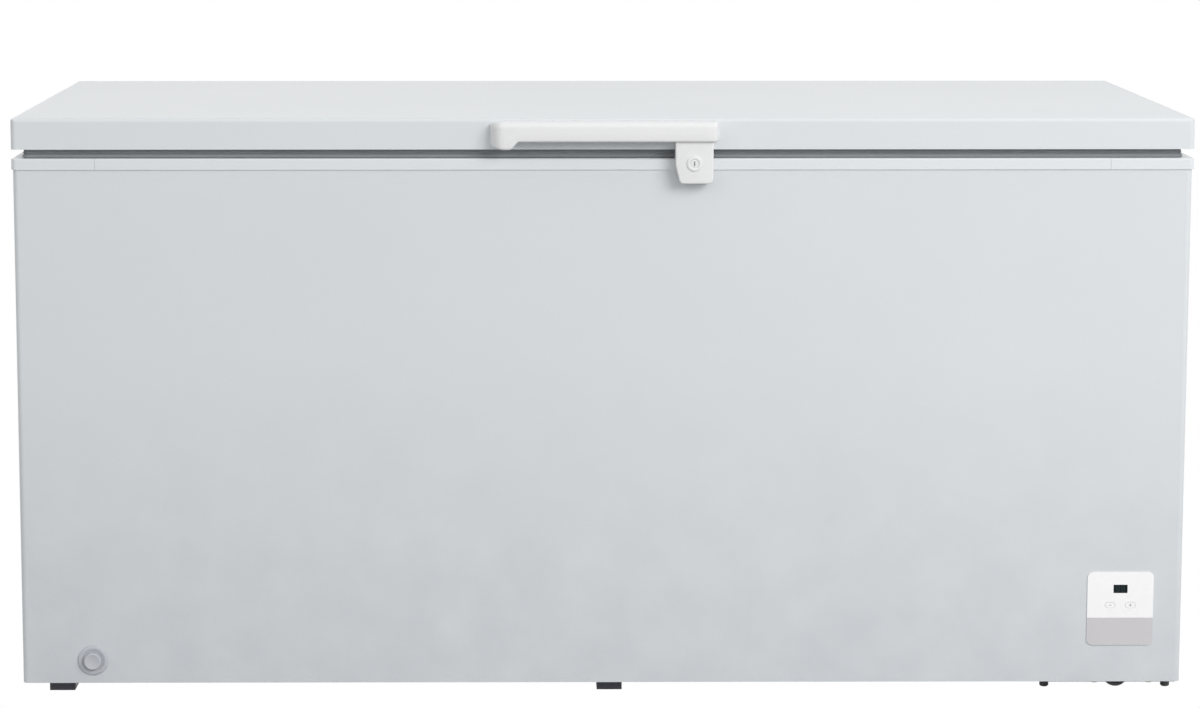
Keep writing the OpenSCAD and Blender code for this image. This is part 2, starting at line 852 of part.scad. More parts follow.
// Block with rounded upright corners and rounded top edges
module lid_block(inset, z0, z1, edge_r, plan_r) {
    w = cabinet_w / 2 - inset;
    y0 = y_front + inset;
    y1 = y_back - inset;
    intersection() {
        slab(inset, z0, z1, plan_r);
        extrude_y(y0 - 1, y1 + 1)
            polygon(concat([[-w, z0 - 1], [w, z0 - 1]],
                arc(w - edge_r, z1 - edge_r, edge_r, 0, 90, 6),
                arc(-w + edge_r, z1 - edge_r, edge_r, 90, 180, 6)));
        extrude_x(-w - 1, w + 1)
            polygon(concat([[y0, z0 - 1], [y1, z0 - 1]],
                arc(y1 - edge_r, z1 - edge_r, edge_r, 0, 90, 6),
                arc(y0 + edge_r, z1 - edge_r, edge_r, 90, 180, 6)));
    }
}

lid_liner_t = 2;
plug_in = tub_in + 30;

module lid_skin() {
    color([0.86, 0.88, 0.89])
        difference() {
            lid_block(0, z_lid, z_lid_top, lid_edge_r, corner_r);
            lid_block(sheet_t, z_lid - 1, z_lid_top - sheet_t, lid_edge_r - sheet_t, corner_r - sheet_t);
        }
}

module lid_liner() {
    color([0.92, 0.93, 0.93])
        difference() {
            union() {
                slab(sheet_t, z_lid, z_lid + lid_liner_t, corner_r - sheet_t);
                slab(plug_in, z_plug, z_lid + 1, 30);
            }
            slab(plug_in + lid_liner_t, z_plug + lid_liner_t, z_lid + lid_liner_t + 1, 30 - lid_liner_t);
        }
}

module lid_foam() {
    color([0.93, 0.87, 0.68])
        union() {
            lid_block(sheet_t, z_lid + lid_liner_t, z_lid_top - sheet_t, lid_edge_r - sheet_t, corner_r - sheet_t);
            slab(plug_in + lid_liner_t, z_plug + lid_liner_t, z_lid + lid_liner_t + 1, 30 - lid_liner_t);
        }
}

// Seal with a flat base, a narrow waist and a magnet pocket
module gasket() {
    inner = gasket_inset + gasket_w;
    waist = 4;
    z0 = z_rim_top + seal_gap;
    color([0.45, 0.46, 0.48])
        union() {
            ring_slab(gasket_inset, inner, z_lid - 3, z_lid, corner_r, 5);
            ring_slab(gasket_inset + 1, inner - waist, z0 + 4, z_lid - 2, corner_r, 5);
            ring_slab(gasket_inset, inner, z0, z0 + 5, corner_r, 5);
        }
}

foot_l = 38;

module handle() {
    wall = 4;
    y0 = y_front - handle_proud;
    grip_x0 = handle_x0 + foot_l;
    grip_x1 = lock_x0 - 5;
    foot_drop = 11;
    end_r = 16;
    color([0.92, 0.92, 0.92])
        difference() {
            intersection() {
                extrude_x(handle_x0, handle_x1)
                    polygon(concat([[y_front, handle_bottom - foot_drop], [y0 + 3, handle_bottom - foot_drop]],
                        [[y0, handle_bottom + 2]],
                        arc(y0 + 8, handle_top - 8, 8, 180, 90, 6), [[y_front, handle_top]]));
                extrude_y(y0 - 1, y_front)
                    polygon(concat(
                        arc(handle_x0 + 6, handle_bottom - foot_drop + 6, 6, 180, 270, 5),
                        [[grip_x0 - 10, handle_bottom - foot_drop], [grip_x0, handle_bottom],
                            [handle_x1 - 5, handle_bottom]],
                        arc(handle_x1 - 5, handle_bottom + 5, 5, 270, 360, 4),
                        arc(handle_x1 - 7, handle_top - 7, 7, 0, 90, 4),
                        arc(handle_x0 + 10, handle_top - 10, 10, 90, 180, 6)));
                translate([0, 0, z_rim])
                    linear_extrude(height = 200)
                        polygon(concat([[handle_x1, y_front], [handle_x0, y_front]],
                            arc(handle_x0 + end_r, y0 + end_r, end_r, 180, 270, 8),
                            arc(handle_x1 - 8, y0 + 8, 8, 270, 360, 6)));
            }
            box_between(grip_x0, grip_x1, y0 + wall, y_front + 1, handle_bottom - 20, handle_top - wall);
        }
}

module lock_housing() {
    wall = lock_wall;
    y0 = y_front - lock_face;
    low = lock_z0;
    color([0.88, 0.88, 0.88])
        difference() {
            union() {
                extrude_y(y0, y_front - 0.8)
                    polygon(concat([[lock_x1, handle_bottom], [lock_x0, handle_bottom],
                        [lock_x0, lock_z - 1], [lock_x0 + 5, low + 6]],
                        arc(lock_x0 + 12, low + 7, 7, 190, 270, 5),
                        arc(lock_x1 - 7, low + 7, 7, 270, 360, 5)));
                box_between(lock_x0, lock_x1, y_front - 1, y_front, z_lid + 1, handle_bottom);
            }
            box_between(lock_x0 + wall, lock_x1 - wall, y0 + wall, y_front - 0.5, low - 10, z_lid - 2);
            rod_y(lock_x, y0 - 1, y0 + wall + 1, lock_z, barrel_r + spin_gap);
        }
}

module lock_barrel() {
    y0 = y_front - lock_face;
    color([0.85, 0.86, 0.87])
        difference() {
            union() {
                rod_y(lock_x, y0 - 2, y0 - 0.1, lock_z, barrel_r + 2);
                rod_y(lock_x, y0 - 1, y_front - cam_front, lock_z, barrel_r);
                rod_y(lock_x, y_front - cam_front - 1, y_front - cam_front + cam_t + 1.5, lock_z, 2.5);
            }
            rod_y(lock_x, y0 - 3, y0 - 1.2, lock_z, barrel_r - 3);
            box_between(lock_x - 1, lock_x + 1, y0 - 2, y0 + 4, lock_z - 4, lock_z + 4);
        }
}

module lock_cam() {
    color([0.65, 0.66, 0.68])
        extrude_y(y_front - cam_front, y_front - cam_front + cam_t)
            difference() {
                union() {
                    translate([lock_x, lock_z])
                        circle(r = 7);
                    translate([lock_x - cam_w / 2, lock_z - cam_l + cam_w / 2])
                        square([cam_w, cam_l - cam_w / 2]);
                    translate([lock_x, lock_z - cam_l + cam_w / 2])
                        circle(r = cam_w / 2);
                }
                translate([lock_x, lock_z])
                    circle(r = 2.5);
            }
}

// Plate on the cabinet's front with a window that the cam turns into
module lock_keeper() {
    strike_gap = 7.5;
    strike_x = lock_x + cam_w / 2 + strike_gap;
    strike_t = 2;
    z0 = lock_z0 + 3;
    win = 1.5;
    color([0.7, 0.71, 0.72])
        union() {
            box_between(lock_x - 9, strike_x + strike_t, y_body - 1.5, y_body, z0, z_rim - 1);
            difference() {
                union() {
                    box_between(strike_x, strike_x + strike_t, y_front - cam_front - 3, y_body, z0, z_rim - 1);
                    box_between(strike_x, strike_x + strike_t, y_front - cam_front - 3, y_front - 0.4,
                        z0, lock_z + cam_w / 2 + 6);
                }
                box_between(strike_x - 1, strike_x + strike_t + 1, y_front - cam_front - win,
                    y_front - cam_front + cam_t + win, lock_z - cam_l + 2, lock_z + cam_w / 2 + 2);
            }
        }
}

bracket_low = z_rim - 115;

module hinge_bracket() {
    plate_y = y_panel + cheek_t;
    color([0.8, 0.81, 0.82])
        difference() {
            union() {
                box_between(-bracket_w / 2, bracket_w / 2, y_panel, plate_y, bracket_low, z_rim - 1);
                for (x = [-bracket_w / 2, bracket_w / 2 - cheek_t]) {
                    box_between(x, x + cheek_t, y_panel, pin_y + cheek_r, bracket_low + 20, z_rim - 1);
                    box_between(x, x + cheek_t, y_back + 0.4, pin_y + cheek_r, z_rim - 2, pin_z);
                    rod_x(x, x + cheek_t, pin_y, pin_z, cheek_r);
                }
                box_between(-bracket_w / 2, bracket_w / 2, pin_y + cheek_r - cheek_t, pin_y + cheek_r,
                    bracket_low + 20, z_rim - 22);
            }
            rod_x(-bracket_w, bracket_w, pin_y, pin_z, pin_r);
            for (x = [-15, 15])
                rod_y(x, y_panel - 1, plate_y + 1, bracket_low + 10, screw_r);
        }
}

module hinge_brackets() {
    for (s = [-1, 1])
        translate([s * hinge_x, 0, 0])
            hinge_bracket();
}

module hinge_arm() {
    ear_y = y_back + 0.6;
    color([0.8, 0.81, 0.82])
        difference() {
            union() {
                box_between(-arm_w / 2, arm_w / 2, y_back, y_back + cheek_t, z_lid - 6, z_lid_top - 6);
                for (x = [-arm_w / 2, arm_w / 2 - ear_w]) {
                    box_between(x, x + ear_w, ear_y, pin_y + knuckle_r, pin_z, z_lid + 4);
                    rod_x(x, x + ear_w, pin_y, pin_z, knuckle_r);
                }
                box_between(-arm_w / 2 + 1, arm_w / 2 - 1, y_back + 3.2, y_back + 6, z_lid - 8, z_lid - 4);
            }
            rod_x(-arm_w, arm_w, pin_y, pin_z, pin_r + spin_gap);
            for (x = [-13, 13])
                rod_y(x, y_back - 1, y_back + 5, z_lid + 22, screw_r);
        }
}

module hinge_arms() {
    for (s = [-1, 1])
        translate([s * hinge_x, 0, 0])
            hinge_arm();
}

module hinge_pins() {
    color([0.7, 0.71, 0.73])
        for (s = [-1, 1])
            rod_x(s * hinge_x - bracket_w / 2, s * hinge_x + bracket_w / 2, pin_y, pin_z, pin_r);
}

// Torsion spring: a leg on the bracket, six turns round the pin, a leg behind the arm's tab
spring_wire_r = 0.8;
spring_r = pin_r + 1.9;
spring_turns = 6;
spring_steps = 14;
spring_half = 8;
spring_path = concat(
    [[-spring_half, -spring_r, -34], [-spring_half, -spring_r, -17]],
    [for (i = [0:spring_turns * spring_steps + spring_steps])
        let (a = 180 + 360 * i / spring_steps)
        [-spring_half + 2 * spring_half * i / (spring_steps * (spring_turns + 1)),
            spring_r * cos(a), -spring_r * sin(a)]],
    [[spring_half, -spring_r, z_lid - 7 - pin_z]]);

function path_dir(p, i) =
    let (a = p[max(i - 1, 0)], b = p[min(i + 1, len(p) - 1)])
    (b - a) / norm(b - a);

// Tube of round wire along a path that never runs along X
module swept_wire(p, r, sides) {
    n = len(p);
    points = [for (i = [0:n - 1])
        let (t = path_dir(p, i), u = cross(t, [1, 0, 0]) / norm(cross(t, [1, 0, 0])), v = cross(t, u))
        for (k = [0:sides - 1])
            p[i] + r * cos(360 * k / sides) * u + r * sin(360 * k / sides) * v];
    walls = [for (i = [0:n - 2])
        for (k = [0:sides - 1])
            [i * sides + k, i * sides + (k + 1) % sides, (i + 1) * sides + (k + 1) % sides, (i + 1) * sides + k]];
    ends = [[for (k = [sides - 1:-1:0]) k], [for (k = [0:sides - 1]) (n - 1) * sides + k]];
    polyhedron(points = points, faces = concat(walls, ends), convexity = 4);
}

module hinge_springs() {
    color([0.55, 0.56, 0.58])
        for (s = [-1, 1])
            translate([s * hinge_x, pin_y, pin_z])
                swept_wire(spring_path, spring_wire_r, 8);
}

// Pan-head screw along -Y or -Z, head outermost
module screw(l) {
    union() {
        cylinder(r = screw_r, h = l);
        translate([0, 0, l])
            cylinder(r = screw_r * 2, h = 2);
    }
}

module cabinet_screws() {
    color([0.6, 0.61, 0.63])
        union() {
            for (s = tray_screws)
                translate([s[0], s[1], z_body + sheet_t])
                    rotate([180, 0, 0])
                        screw(sheet_t + tray_t);
            for (x = [bay_x + 10, bay_x + 120])
                for (z = [z_body + 22, z_bay_top - 14])
                    translate([x, y_panel - 2, z])
                        rotate([-90, 0, 0])
                            screw(2);
            for (s = [-1, 1])
                for (x = [-15, 15])
                    translate([s * hinge_x + x, y_panel, bracket_low + 10])
                        rotate([-90, 0, 0])
                            screw(cheek_t);
        }
}

module lid_screws() {
    color([0.6, 0.61, 0.63])
        for (s = [-1, 1])
            for (x = [-13, 13])
                translate([s * hinge_x + x, y_back, z_lid + 22])
                    rotate([-90, 0, 0])
                        screw(cheek_t);
}

// Basket that hangs from the rim's inner edge over the step
basket_x1 = tub_x - rim_t - 8;
basket_x0 = basket_x1 - basket_w;
basket_y0 = tub_y0 + rim_t + 7;
basket_y1 = tub_y1 - rim_t - 7;
basket_top = z_rim_top - 14;
basket_low = basket_top - basket_h;
frame_r = 2.5;
hook_reach = 9;

module wire_basket() {
    r = wire_d / 2;
    across_n = 6;
    along_n = 10;
    hook_x = [basket_x0 + 45, basket_x1 - 45];
    color([0.9, 0.91, 0.92])
        union() {
            for (i = [1:across_n]) {
                x = basket_x0 + (basket_x1 - basket_x0) * i / (across_n + 1);
                pipe([[x, basket_y0, basket_top], [x, basket_y0, basket_low], [x, basket_y1, basket_low],
                    [x, basket_y1, basket_top]], r);
            }
            for (i = [1:along_n]) {
                y = basket_y0 + (basket_y1 - basket_y0) * i / (along_n + 1);
                pipe([[basket_x0, y, basket_top], [basket_x0, y, basket_low], [basket_x1, y, basket_low],
                    [basket_x1, y, basket_top]], r);
            }
            for (z = [basket_top, (basket_top + basket_low) / 2])
                tube_loop(basket_x0, basket_x1, basket_y0, basket_y1, z, 12, z == basket_top ? frame_r : r);
            for (x = hook_x) {
                basket_hook(x, basket_y0, -1);
                basket_hook(x, basket_y1, 1);
            }
        }
}

// Hook from the basket's frame over the rim's inner edge
module basket_hook(x, y, side) {
    over = z_rim_top + frame_r + 0.2;
    pipe([[x, y, basket_top], [x, y, over], [x, y + side * (hook_reach + 8), over]], frame_r);
}

cabinet_wrap();
back_panel();
bottom_panel();
bay_panel();
foam_insulation();
inner_liner();
rim_rail_x(y_front - 1, y_mid);  // rim_rail_front
rim_rail_x(y_mid, y_back + 1);  // rim_rail_rear
rim_rail_y(-cabinet_w, 0);  // rim_rail_left
rim_rail_y(0, cabinet_w);  // rim_rail_right
rim_corner_piece(-1, -1);  // rim_corner_front_left
rim_corner_piece(1, -1);  // rim_corner_front_right
rim_corner_piece(-1, 1);  // rim_corner_rear_left
rim_corner_piece(1, 1);  // rim_corner_rear_right
evaporator_coil();
condenser_coil();
compressor();
compressor_grommets();
compressor_bolts();
compressor_tray();
tray_feet();
inverter_box();
filter_drier();
suction_pipe();
discharge_pipe();
bay_cover();
cord_inlet();
drain_tube();
drain_bezel();
drain_plug();
tub_plug();
control_panel();
panel_strip();
display_window();
button(-1);  // button_minus
button(1);  // button_plus
control_board();
base_rail(rail_x[0]);  // base_rail_left
base_rail(rail_x[1]);  // base_rail_middle
roller_pins();
roller(rail_x[0], roller_y[0]);  // roller_left_front
roller(rail_x[0], roller_y[1]);  // roller_left_rear
roller(rail_x[1], roller_y[0]);  // roller_middle_front
roller(rail_x[1], roller_y[1]);  // roller_middle_rear
lid_skin();
lid_liner();
lid_foam();
gasket();
handle();
lock_housing();
lock_barrel();
lock_cam();
lock_keeper();
hinge_brackets();
hinge_arms();
hinge_pins();
hinge_springs();
cabinet_screws();
lid_screws();
wire_basket();
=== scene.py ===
"""Looks of the chest freezer: a finish for every construction node and detailed pieces that stand for some.

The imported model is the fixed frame. Each sub-assembly is a class that builds its own meshes from the frame's
boxes and dresses its nodes. All lengths are in metres.
"""

from __future__ import annotations

import json
import logging
import math
from dataclasses import dataclass, field
from enum import Enum
from functools import cache
from typing import Callable, Sequence

import bmesh
import bpy
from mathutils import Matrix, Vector

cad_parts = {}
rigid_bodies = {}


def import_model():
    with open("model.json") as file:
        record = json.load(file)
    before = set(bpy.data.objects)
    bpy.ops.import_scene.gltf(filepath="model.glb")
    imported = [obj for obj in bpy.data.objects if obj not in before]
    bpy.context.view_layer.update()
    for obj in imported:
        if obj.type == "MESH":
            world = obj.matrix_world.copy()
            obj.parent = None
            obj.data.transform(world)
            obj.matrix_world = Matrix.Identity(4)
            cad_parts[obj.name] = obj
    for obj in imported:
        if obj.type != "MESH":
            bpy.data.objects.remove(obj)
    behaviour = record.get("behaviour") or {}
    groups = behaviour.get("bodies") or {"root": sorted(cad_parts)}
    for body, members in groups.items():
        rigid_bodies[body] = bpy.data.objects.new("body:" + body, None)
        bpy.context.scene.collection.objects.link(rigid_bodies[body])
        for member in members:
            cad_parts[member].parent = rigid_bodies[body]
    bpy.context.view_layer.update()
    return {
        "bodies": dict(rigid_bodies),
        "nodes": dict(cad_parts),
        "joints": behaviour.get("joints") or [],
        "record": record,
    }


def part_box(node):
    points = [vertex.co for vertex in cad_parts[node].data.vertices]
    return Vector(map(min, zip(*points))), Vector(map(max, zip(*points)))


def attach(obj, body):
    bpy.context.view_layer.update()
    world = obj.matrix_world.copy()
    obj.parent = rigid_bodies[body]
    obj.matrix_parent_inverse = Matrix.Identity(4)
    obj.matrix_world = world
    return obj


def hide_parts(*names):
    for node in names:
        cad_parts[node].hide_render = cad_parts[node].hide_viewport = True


LOG = logging.getLogger("freezer")
MM = 0.001
Color = tuple[float, float, float]
Point2 = tuple[float, float]


class Pattern(Enum):
    """Relief and colour pattern that a finish carries over its surface."""

    PEEL = "orange peel of sprayed or powder paint"
    MOULDED = "fine grain of moulded plastic"
    STUCCO = "small pressed pebbles of embossed sheet"
    SPANGLE = "crystal flakes of galvanised sheet"
    BRUSHED = "fine lines of rolled or brushed metal"
    CELLS = "open cells of rigid foam"
    RUBBER = "matt bloom of rubber"


class ShaderSheet:
    """A node tree with short calls to add and join nodes."""

    def __init__(self, tree: bpy.types.NodeTree) -> None:
        """Starts on an emptied tree.

        Args:
            tree: The tree to fill.
        """
        self.tree = tree
        tree.nodes.clear()

    def add(self, kind: str, **values: object) -> bpy.types.Node:
        """Adds a node and sets its properties.

        Args:
            kind: The node's type name.
            values: Properties of the node by name.

        Returns:
            The new node.
        """
        node = self.tree.nodes.new(kind)
        for name, value in values.items():
            setattr(node, name, value)
        return node

    def join(self, source: bpy.types.NodeSocket, target: bpy.types.NodeSocket) -> None:
        """Links one socket to another."""
        self.tree.links.new(source, target)


def socket_value(node: bpy.types.Node, name: str, value: object) -> None:
    """Sets an input socket's own value."""
    node.inputs[name].default_value = value


def rgba(color: Color) -> tuple[float, float, float, float]:
    """Returns the colour with full alpha."""
    return (color[0], color[1], color[2], 1.0)


@dataclass(frozen=True)
class GroupSocket:
    """One named input or output of a shader group."""

    name: str
    kind: str
    is_input: bool = True
    default: object = None


class ShaderGroups:
    """The effects that several finishes share, each built once as a named group."""

    @staticmethod
    def start(
        name: str, sockets: Sequence[GroupSocket]
    ) -> tuple[ShaderSheet, bpy.types.Node, bpy.types.Node]:
        """Makes an empty shader group with its sockets.

        Args:
            name: The group's name.
            sockets: Its inputs and outputs in order.

        Returns:
            The sheet, the group's input node and its output node.
        """
        tree = bpy.data.node_groups.new(name, "ShaderNodeTree")
        for item in sockets:
            made = tree.interface.new_socket(
                name=item.name, in_out="INPUT" if item.is_input else "OUTPUT", socket_type=item.kind
            )
            if item.default is not None:
                made.default_value = item.default
        sheet = ShaderSheet(tree)
        return sheet, sheet.add("NodeGroupInput"), sheet.add("NodeGroupOutput")

    @classmethod
    @cache
    def tone(cls) -> bpy.types.NodeTree:
        """Slow drift between a colour and its tint, as batches and handling leave."""
        sheet, given, out = cls.start(
            "tone_drift",
            [
                GroupSocket("Color", "NodeSocketColor"),
                GroupSocket("Tint", "NodeSocketColor"),
                GroupSocket("Scale", "NodeSocketFloat", default=3.0),
                GroupSocket("Amount", "NodeSocketFloat", default=0.5),
                GroupSocket("Color", "NodeSocketColor", is_input=False),
            ],
        )
        place = sheet.add("ShaderNodeTexCoord")
        noise = sheet.add("ShaderNodeTexNoise")
        socket_value(noise, "Detail", 4.0)
        socket_value(noise, "Roughness", 0.55)
        spread = sheet.add("ShaderNodeMapRange")
        socket_value(spread, "From Min", 0.32)
        socket_value(spread, "From Max", 0.68)
        amount = sheet.add("ShaderNodeMath", operation="MULTIPLY")
        mix = sheet.add("ShaderNodeMix", data_type="RGBA")
        sheet.join(place.outputs["Object"], noise.inputs["Vector"])
        sheet.join(given.outputs["Scale"], noise.inputs["Scale"])
        sheet.join(noise.outputs["Fac"], spread.inputs["Value"])
        sheet.join(spread.outputs["Result"], amount.inputs[0])
        sheet.join(given.outputs["Amount"], amount.inputs[1])
        sheet.join(amount.outputs[0], mix.inputs[0])
        sheet.join(given.outputs["Color"], mix.inputs[6])
        sheet.join(given.outputs["Tint"], mix.inputs[7])
        sheet.join(mix.outputs[2], out.inputs[0])
        return sheet.tree

    @classmethod
    @cache
    def dust_and_shade(cls) -> bpy.types.NodeTree:
        """A grey film, faint on most parts, that is thickest low down: dust thrown up from the floor on the
        dark parts, painted shade over the lower half of the white enamel.
        """
        sheet, given, out = cls.start(
            "low_grime",
            [
                GroupSocket("Color", "NodeSocketColor"),
                GroupSocket("Film", "NodeSocketColor"),
                GroupSocket("Level", "NodeSocketFloat", default=0.1),
                GroupSocket("Amount", "NodeSocketFloat", default=0.1),
                GroupSocket("Color", "NodeSocketColor", is_input=False),
                GroupSocket("Mask", "NodeSocketFloat", is_input=False),
            ],
        )
        place = sheet.add("ShaderNodeTexCoord")
        split = sheet.add("ShaderNodeSeparateXYZ")
        fade = sheet.add("ShaderNodeMapRange")
        socket_value(fade, "To Min", 1.0)
        socket_value(fade, "To Max", 0.0)
        noise = sheet.add("ShaderNodeTexNoise")
        socket_value(noise, "Scale", 14.0)
        socket_value(noise, "Detail", 6.0)
        both = sheet.add("ShaderNodeMath", operation="MULTIPLY")
        mask = sheet.add("ShaderNodeMath", operation="MULTIPLY")
        mix = sheet.add("ShaderNodeMix", data_type="RGBA")
        sheet.join(place.outputs["Object"], split.inputs[0])
        sheet.join(place.outputs["Object"], noise.inputs["Vector"])
        sheet.join(split.outputs["Z"], fade.inputs["Value"])
        sheet.join(given.outputs["Level"], fade.inputs["From Max"])
        sheet.join(fade.outputs["Result"], both.inputs[0])
        sheet.join(noise.outputs["Fac"], both.inputs[1])
        sheet.join(both.outputs[0], mask.inputs[0])
        sheet.join(given.outputs["Amount"], mask.inputs[1])
        sheet.join(mask.outputs[0], mix.inputs[0])
        sheet.join(given.outputs["Color"], mix.inputs[6])
        sheet.join(given.outputs["Film"], mix.inputs[7])
        sheet.join(mix.outputs[2], out.inputs[0])
        sheet.join(mask.outputs[0], out.inputs[1])
        return sheet.tree

    @classmethod
    @cache
    def gloss_drift(cls) -> bpy.types.NodeTree:
        """Roughness that drifts about a middle value, as wiping and touching leave."""
        sheet, given, out = cls.start(
            "gloss_drift",
            [
                GroupSocket("Roughness", "NodeSocketFloat", default=0.4),
                GroupSocket("Spread", "NodeSocketFloat", default=0.08),
                GroupSocket("Scale", "NodeSocketFloat", default=6.0),
                GroupSocket("Roughness", "NodeSocketFloat", is_input=False),
            ],
        )
        place = sheet.add("ShaderNodeTexCoord")
        noise = sheet.add("ShaderNodeTexNoise")
        socket_value(noise, "Detail", 5.0)
        centre = sheet.add("ShaderNodeMath", operation="SUBTRACT")
        centre.inputs[1].default_value = 0.5
        scaled = sheet.add("ShaderNodeMath", operation="MULTIPLY")
        total = sheet.add("ShaderNodeMath", operation="ADD", use_clamp=True)
        sheet.join(place.outputs["Object"], noise.inputs["Vector"])
        sheet.join(given.outputs["Scale"], noise.inputs["Scale"])
        sheet.join(noise.outputs["Fac"], centre.inputs[0])
        sheet.join(centre.outputs[0], scaled.inputs[0])
        sheet.join(given.outputs["Spread"], scaled.inputs[1])
        sheet.join(given.outputs["Roughness"], total.inputs[0])
        sheet.join(scaled.outputs[0], total.inputs[1])
        sheet.join(total.outputs[0], out.inputs[0])
        return sheet.tree

    @classmethod
    @cache
    def relief(cls, pattern: Pattern) -> bpy.types.NodeTree:
        """The height of a pattern, from 0 to 1, and a mask of its cells.

        Args:
            pattern: Which relief to build.

        Returns:
            The group, with an input Scale and outputs Height and Mask.
        """
        name = "relief_" + pattern.name.lower()
        sheet, given, out = cls.start(
            name,
            [
                GroupSocket("Scale", "NodeSocketFloat", default=100.0),
                GroupSocket("Height", "NodeSocketFloat", is_input=False),
                GroupSocket("Mask", "NodeSocketFloat", is_input=False),
            ],
        )
        place = sheet.add("ShaderNodeTexCoord")
        stretch = sheet.add("ShaderNodeMapping")
        if pattern is Pattern.BRUSHED:
            socket_value(stretch, "Scale", (0.04, 1.0, 1.0))
        sheet.join(place.outputs["Object"], stretch.inputs["Vector"])
        if pattern in (Pattern.STUCCO, Pattern.SPANGLE, Pattern.CELLS):
            cells = sheet.add("ShaderNodeTexVoronoi")
            cells.feature = "SMOOTH_F1" if pattern is Pattern.STUCCO else "F1"
            split = sheet.add("ShaderNodeSeparateColor")
            sheet.join(stretch.outputs[0], cells.inputs["Vector"])
            sheet.join(given.outputs["Scale"], cells.inputs["Scale"])
            sheet.join(cells.outputs["Color"], split.inputs[0])
            height = cells.outputs["Distance"]
            if pattern is Pattern.SPANGLE:
                height = split.outputs[0]
            sheet.join(height, out.inputs[0])
            sheet.join(split.outputs[0], out.inputs[1])
            return sheet.tree
        coarse = sheet.add("ShaderNodeTexNoise")
        socket_value(coarse, "Detail", 2.0 if pattern is Pattern.PEEL else 6.0)
        socket_value(coarse, "Roughness", 0.4 if pattern is Pattern.PEEL else 0.65)
        sheet.join(stretch.outputs[0], coarse.inputs["Vector"])
        sheet.join(given.outputs["Scale"], coarse.inputs["Scale"])
        sheet.join(coarse.outputs["Fac"], out.inputs[0])
        sheet.join(coarse.outputs["Fac"], out.inputs[1])
        return sheet.tree


@dataclass(frozen=True)
class Finish:
    """One surface finish: its colours, gloss and relief."""

    name: str
    color: Color
    tint: Color
    pattern: Pattern
    relief_scale: float = 400.0
    relief_depth: float = 0.05
    relief_reach: float = 0.0004
    tone_scale: float = 2.5
    tone_amount: float = 0.5
    pattern_tone: float = 0.0
    roughness: float = 0.4
    gloss_spread: float = 0.1
    gloss_scale: float = 7.0
    metallic: float = 0.0
    coat: float = 0.0
    coat_roughness: float = 0.1
    # Colour mixed in low down: dust on dark parts, painted shade on the white enamel.
    film: Color = (0.25, 0.25, 0.26)
    dust_and_shade_level: float = 0.12
    dust_and_shade_amount: float = 0.15
    specular: float = 0.5

    def build(self) -> bpy.types.Material:
        """Returns the material, made once."""
        known = bpy.data.materials.get(self.name)
        if known:
            return known
        material = bpy.data.materials.new(self.name)
        material.use_nodes = True
        sheet = ShaderSheet(material.node_tree)
        out = sheet.add("ShaderNodeOutputMaterial")
        shader = sheet.add("ShaderNodeBsdfPrincipled")
        socket_value(shader, "Metallic", self.metallic)
        socket_value(shader, "Specular IOR Level", self.specular)
        socket_value(shader, "Coat Weight", self.coat)
        socket_value(shader, "Coat Roughness", self.coat_roughness)
        tone = self.group(sheet, ShaderGroups.tone(), Scale=self.tone_scale, Amount=self.tone_amount)
        tone.inputs["Color"].default_value = rgba(self.color)
        tone.inputs["Tint"].default_value = rgba(self.tint)
        relief = self.group(sheet, ShaderGroups.relief(self.pattern), Scale=self.relief_scale)
        color = tone.outputs["Color"]
        if self.pattern_tone > 0:
            color = self.shade_by_mask(sheet, color, relief.outputs["Mask"])
        # Low film: dust, and painted shade on the white enamel.
        dust_and_shade = self.group(sheet, ShaderGroups.dust_and_shade(), Level=self.dust_and_shade_level, Amount=self.dust_and_shade_amount)
        dust_and_shade.inputs["Film"].default_value = rgba(self.film)
        sheet.join(color, dust_and_shade.inputs["Color"])
        gloss = self.group(
            sheet,
            ShaderGroups.gloss_drift(),
            Roughness=self.roughness,
            Spread=self.gloss_spread,
            Scale=self.gloss_scale,
        )
        bump = sheet.add("ShaderNodeBump")
        socket_value(bump, "Strength", self.relief_depth)
        socket_value(bump, "Distance", self.relief_reach)
        sheet.join(dust_and_shade.outputs["Color"], shader.inputs["Base Color"])
        sheet.join(gloss.outputs[0], shader.inputs["Roughness"])
        sheet.join(relief.outputs["Height"], bump.inputs["Height"])
        sheet.join(bump.outputs[0], shader.inputs["Normal"])
        sheet.join(shader.outputs[0], out.inputs["Surface"])
        return material

    @staticmethod
    def group(sheet: ShaderSheet, tree: bpy.types.NodeTree, **values: float) -> bpy.types.Node:
        """Places a shared group in the material.

        Args:
            sheet: The material's sheet.
            tree: The group to place.
            values: Its input values by name.

        Returns:
            The group node.
        """
        node = sheet.add("ShaderNodeGroup", node_tree=tree)
        for name, value in values.items():
            node.inputs[name].default_value = value
        return node

    def shade_by_mask(
        self, sheet: ShaderSheet, color: bpy.types.NodeSocket, mask: bpy.types.NodeSocket
    ) -> bpy.types.NodeSocket:
        """Darkens the colour a little where the pattern's mask is low.

        Args:
            sheet: The material's sheet.
            color: The colour so far.
            mask: The pattern's mask.

        Returns:
            The shaded colour.
        """
        reach = sheet.add("ShaderNodeMapRange")
        socket_value(reach, "To Min", 1.0 - self.pattern_tone)
        socket_value(reach, "To Max", 1.0)
        mix = sheet.add("ShaderNodeMix", data_type="RGBA", blend_type="MULTIPLY")
        mix.inputs[0].default_value = 1.0
        sheet.join(mask, reach.inputs["Value"])
        sheet.join(color, mix.inputs[6])
        sheet.join(reach.outputs["Result"], mix.inputs[7])
        return mix.outputs[2]


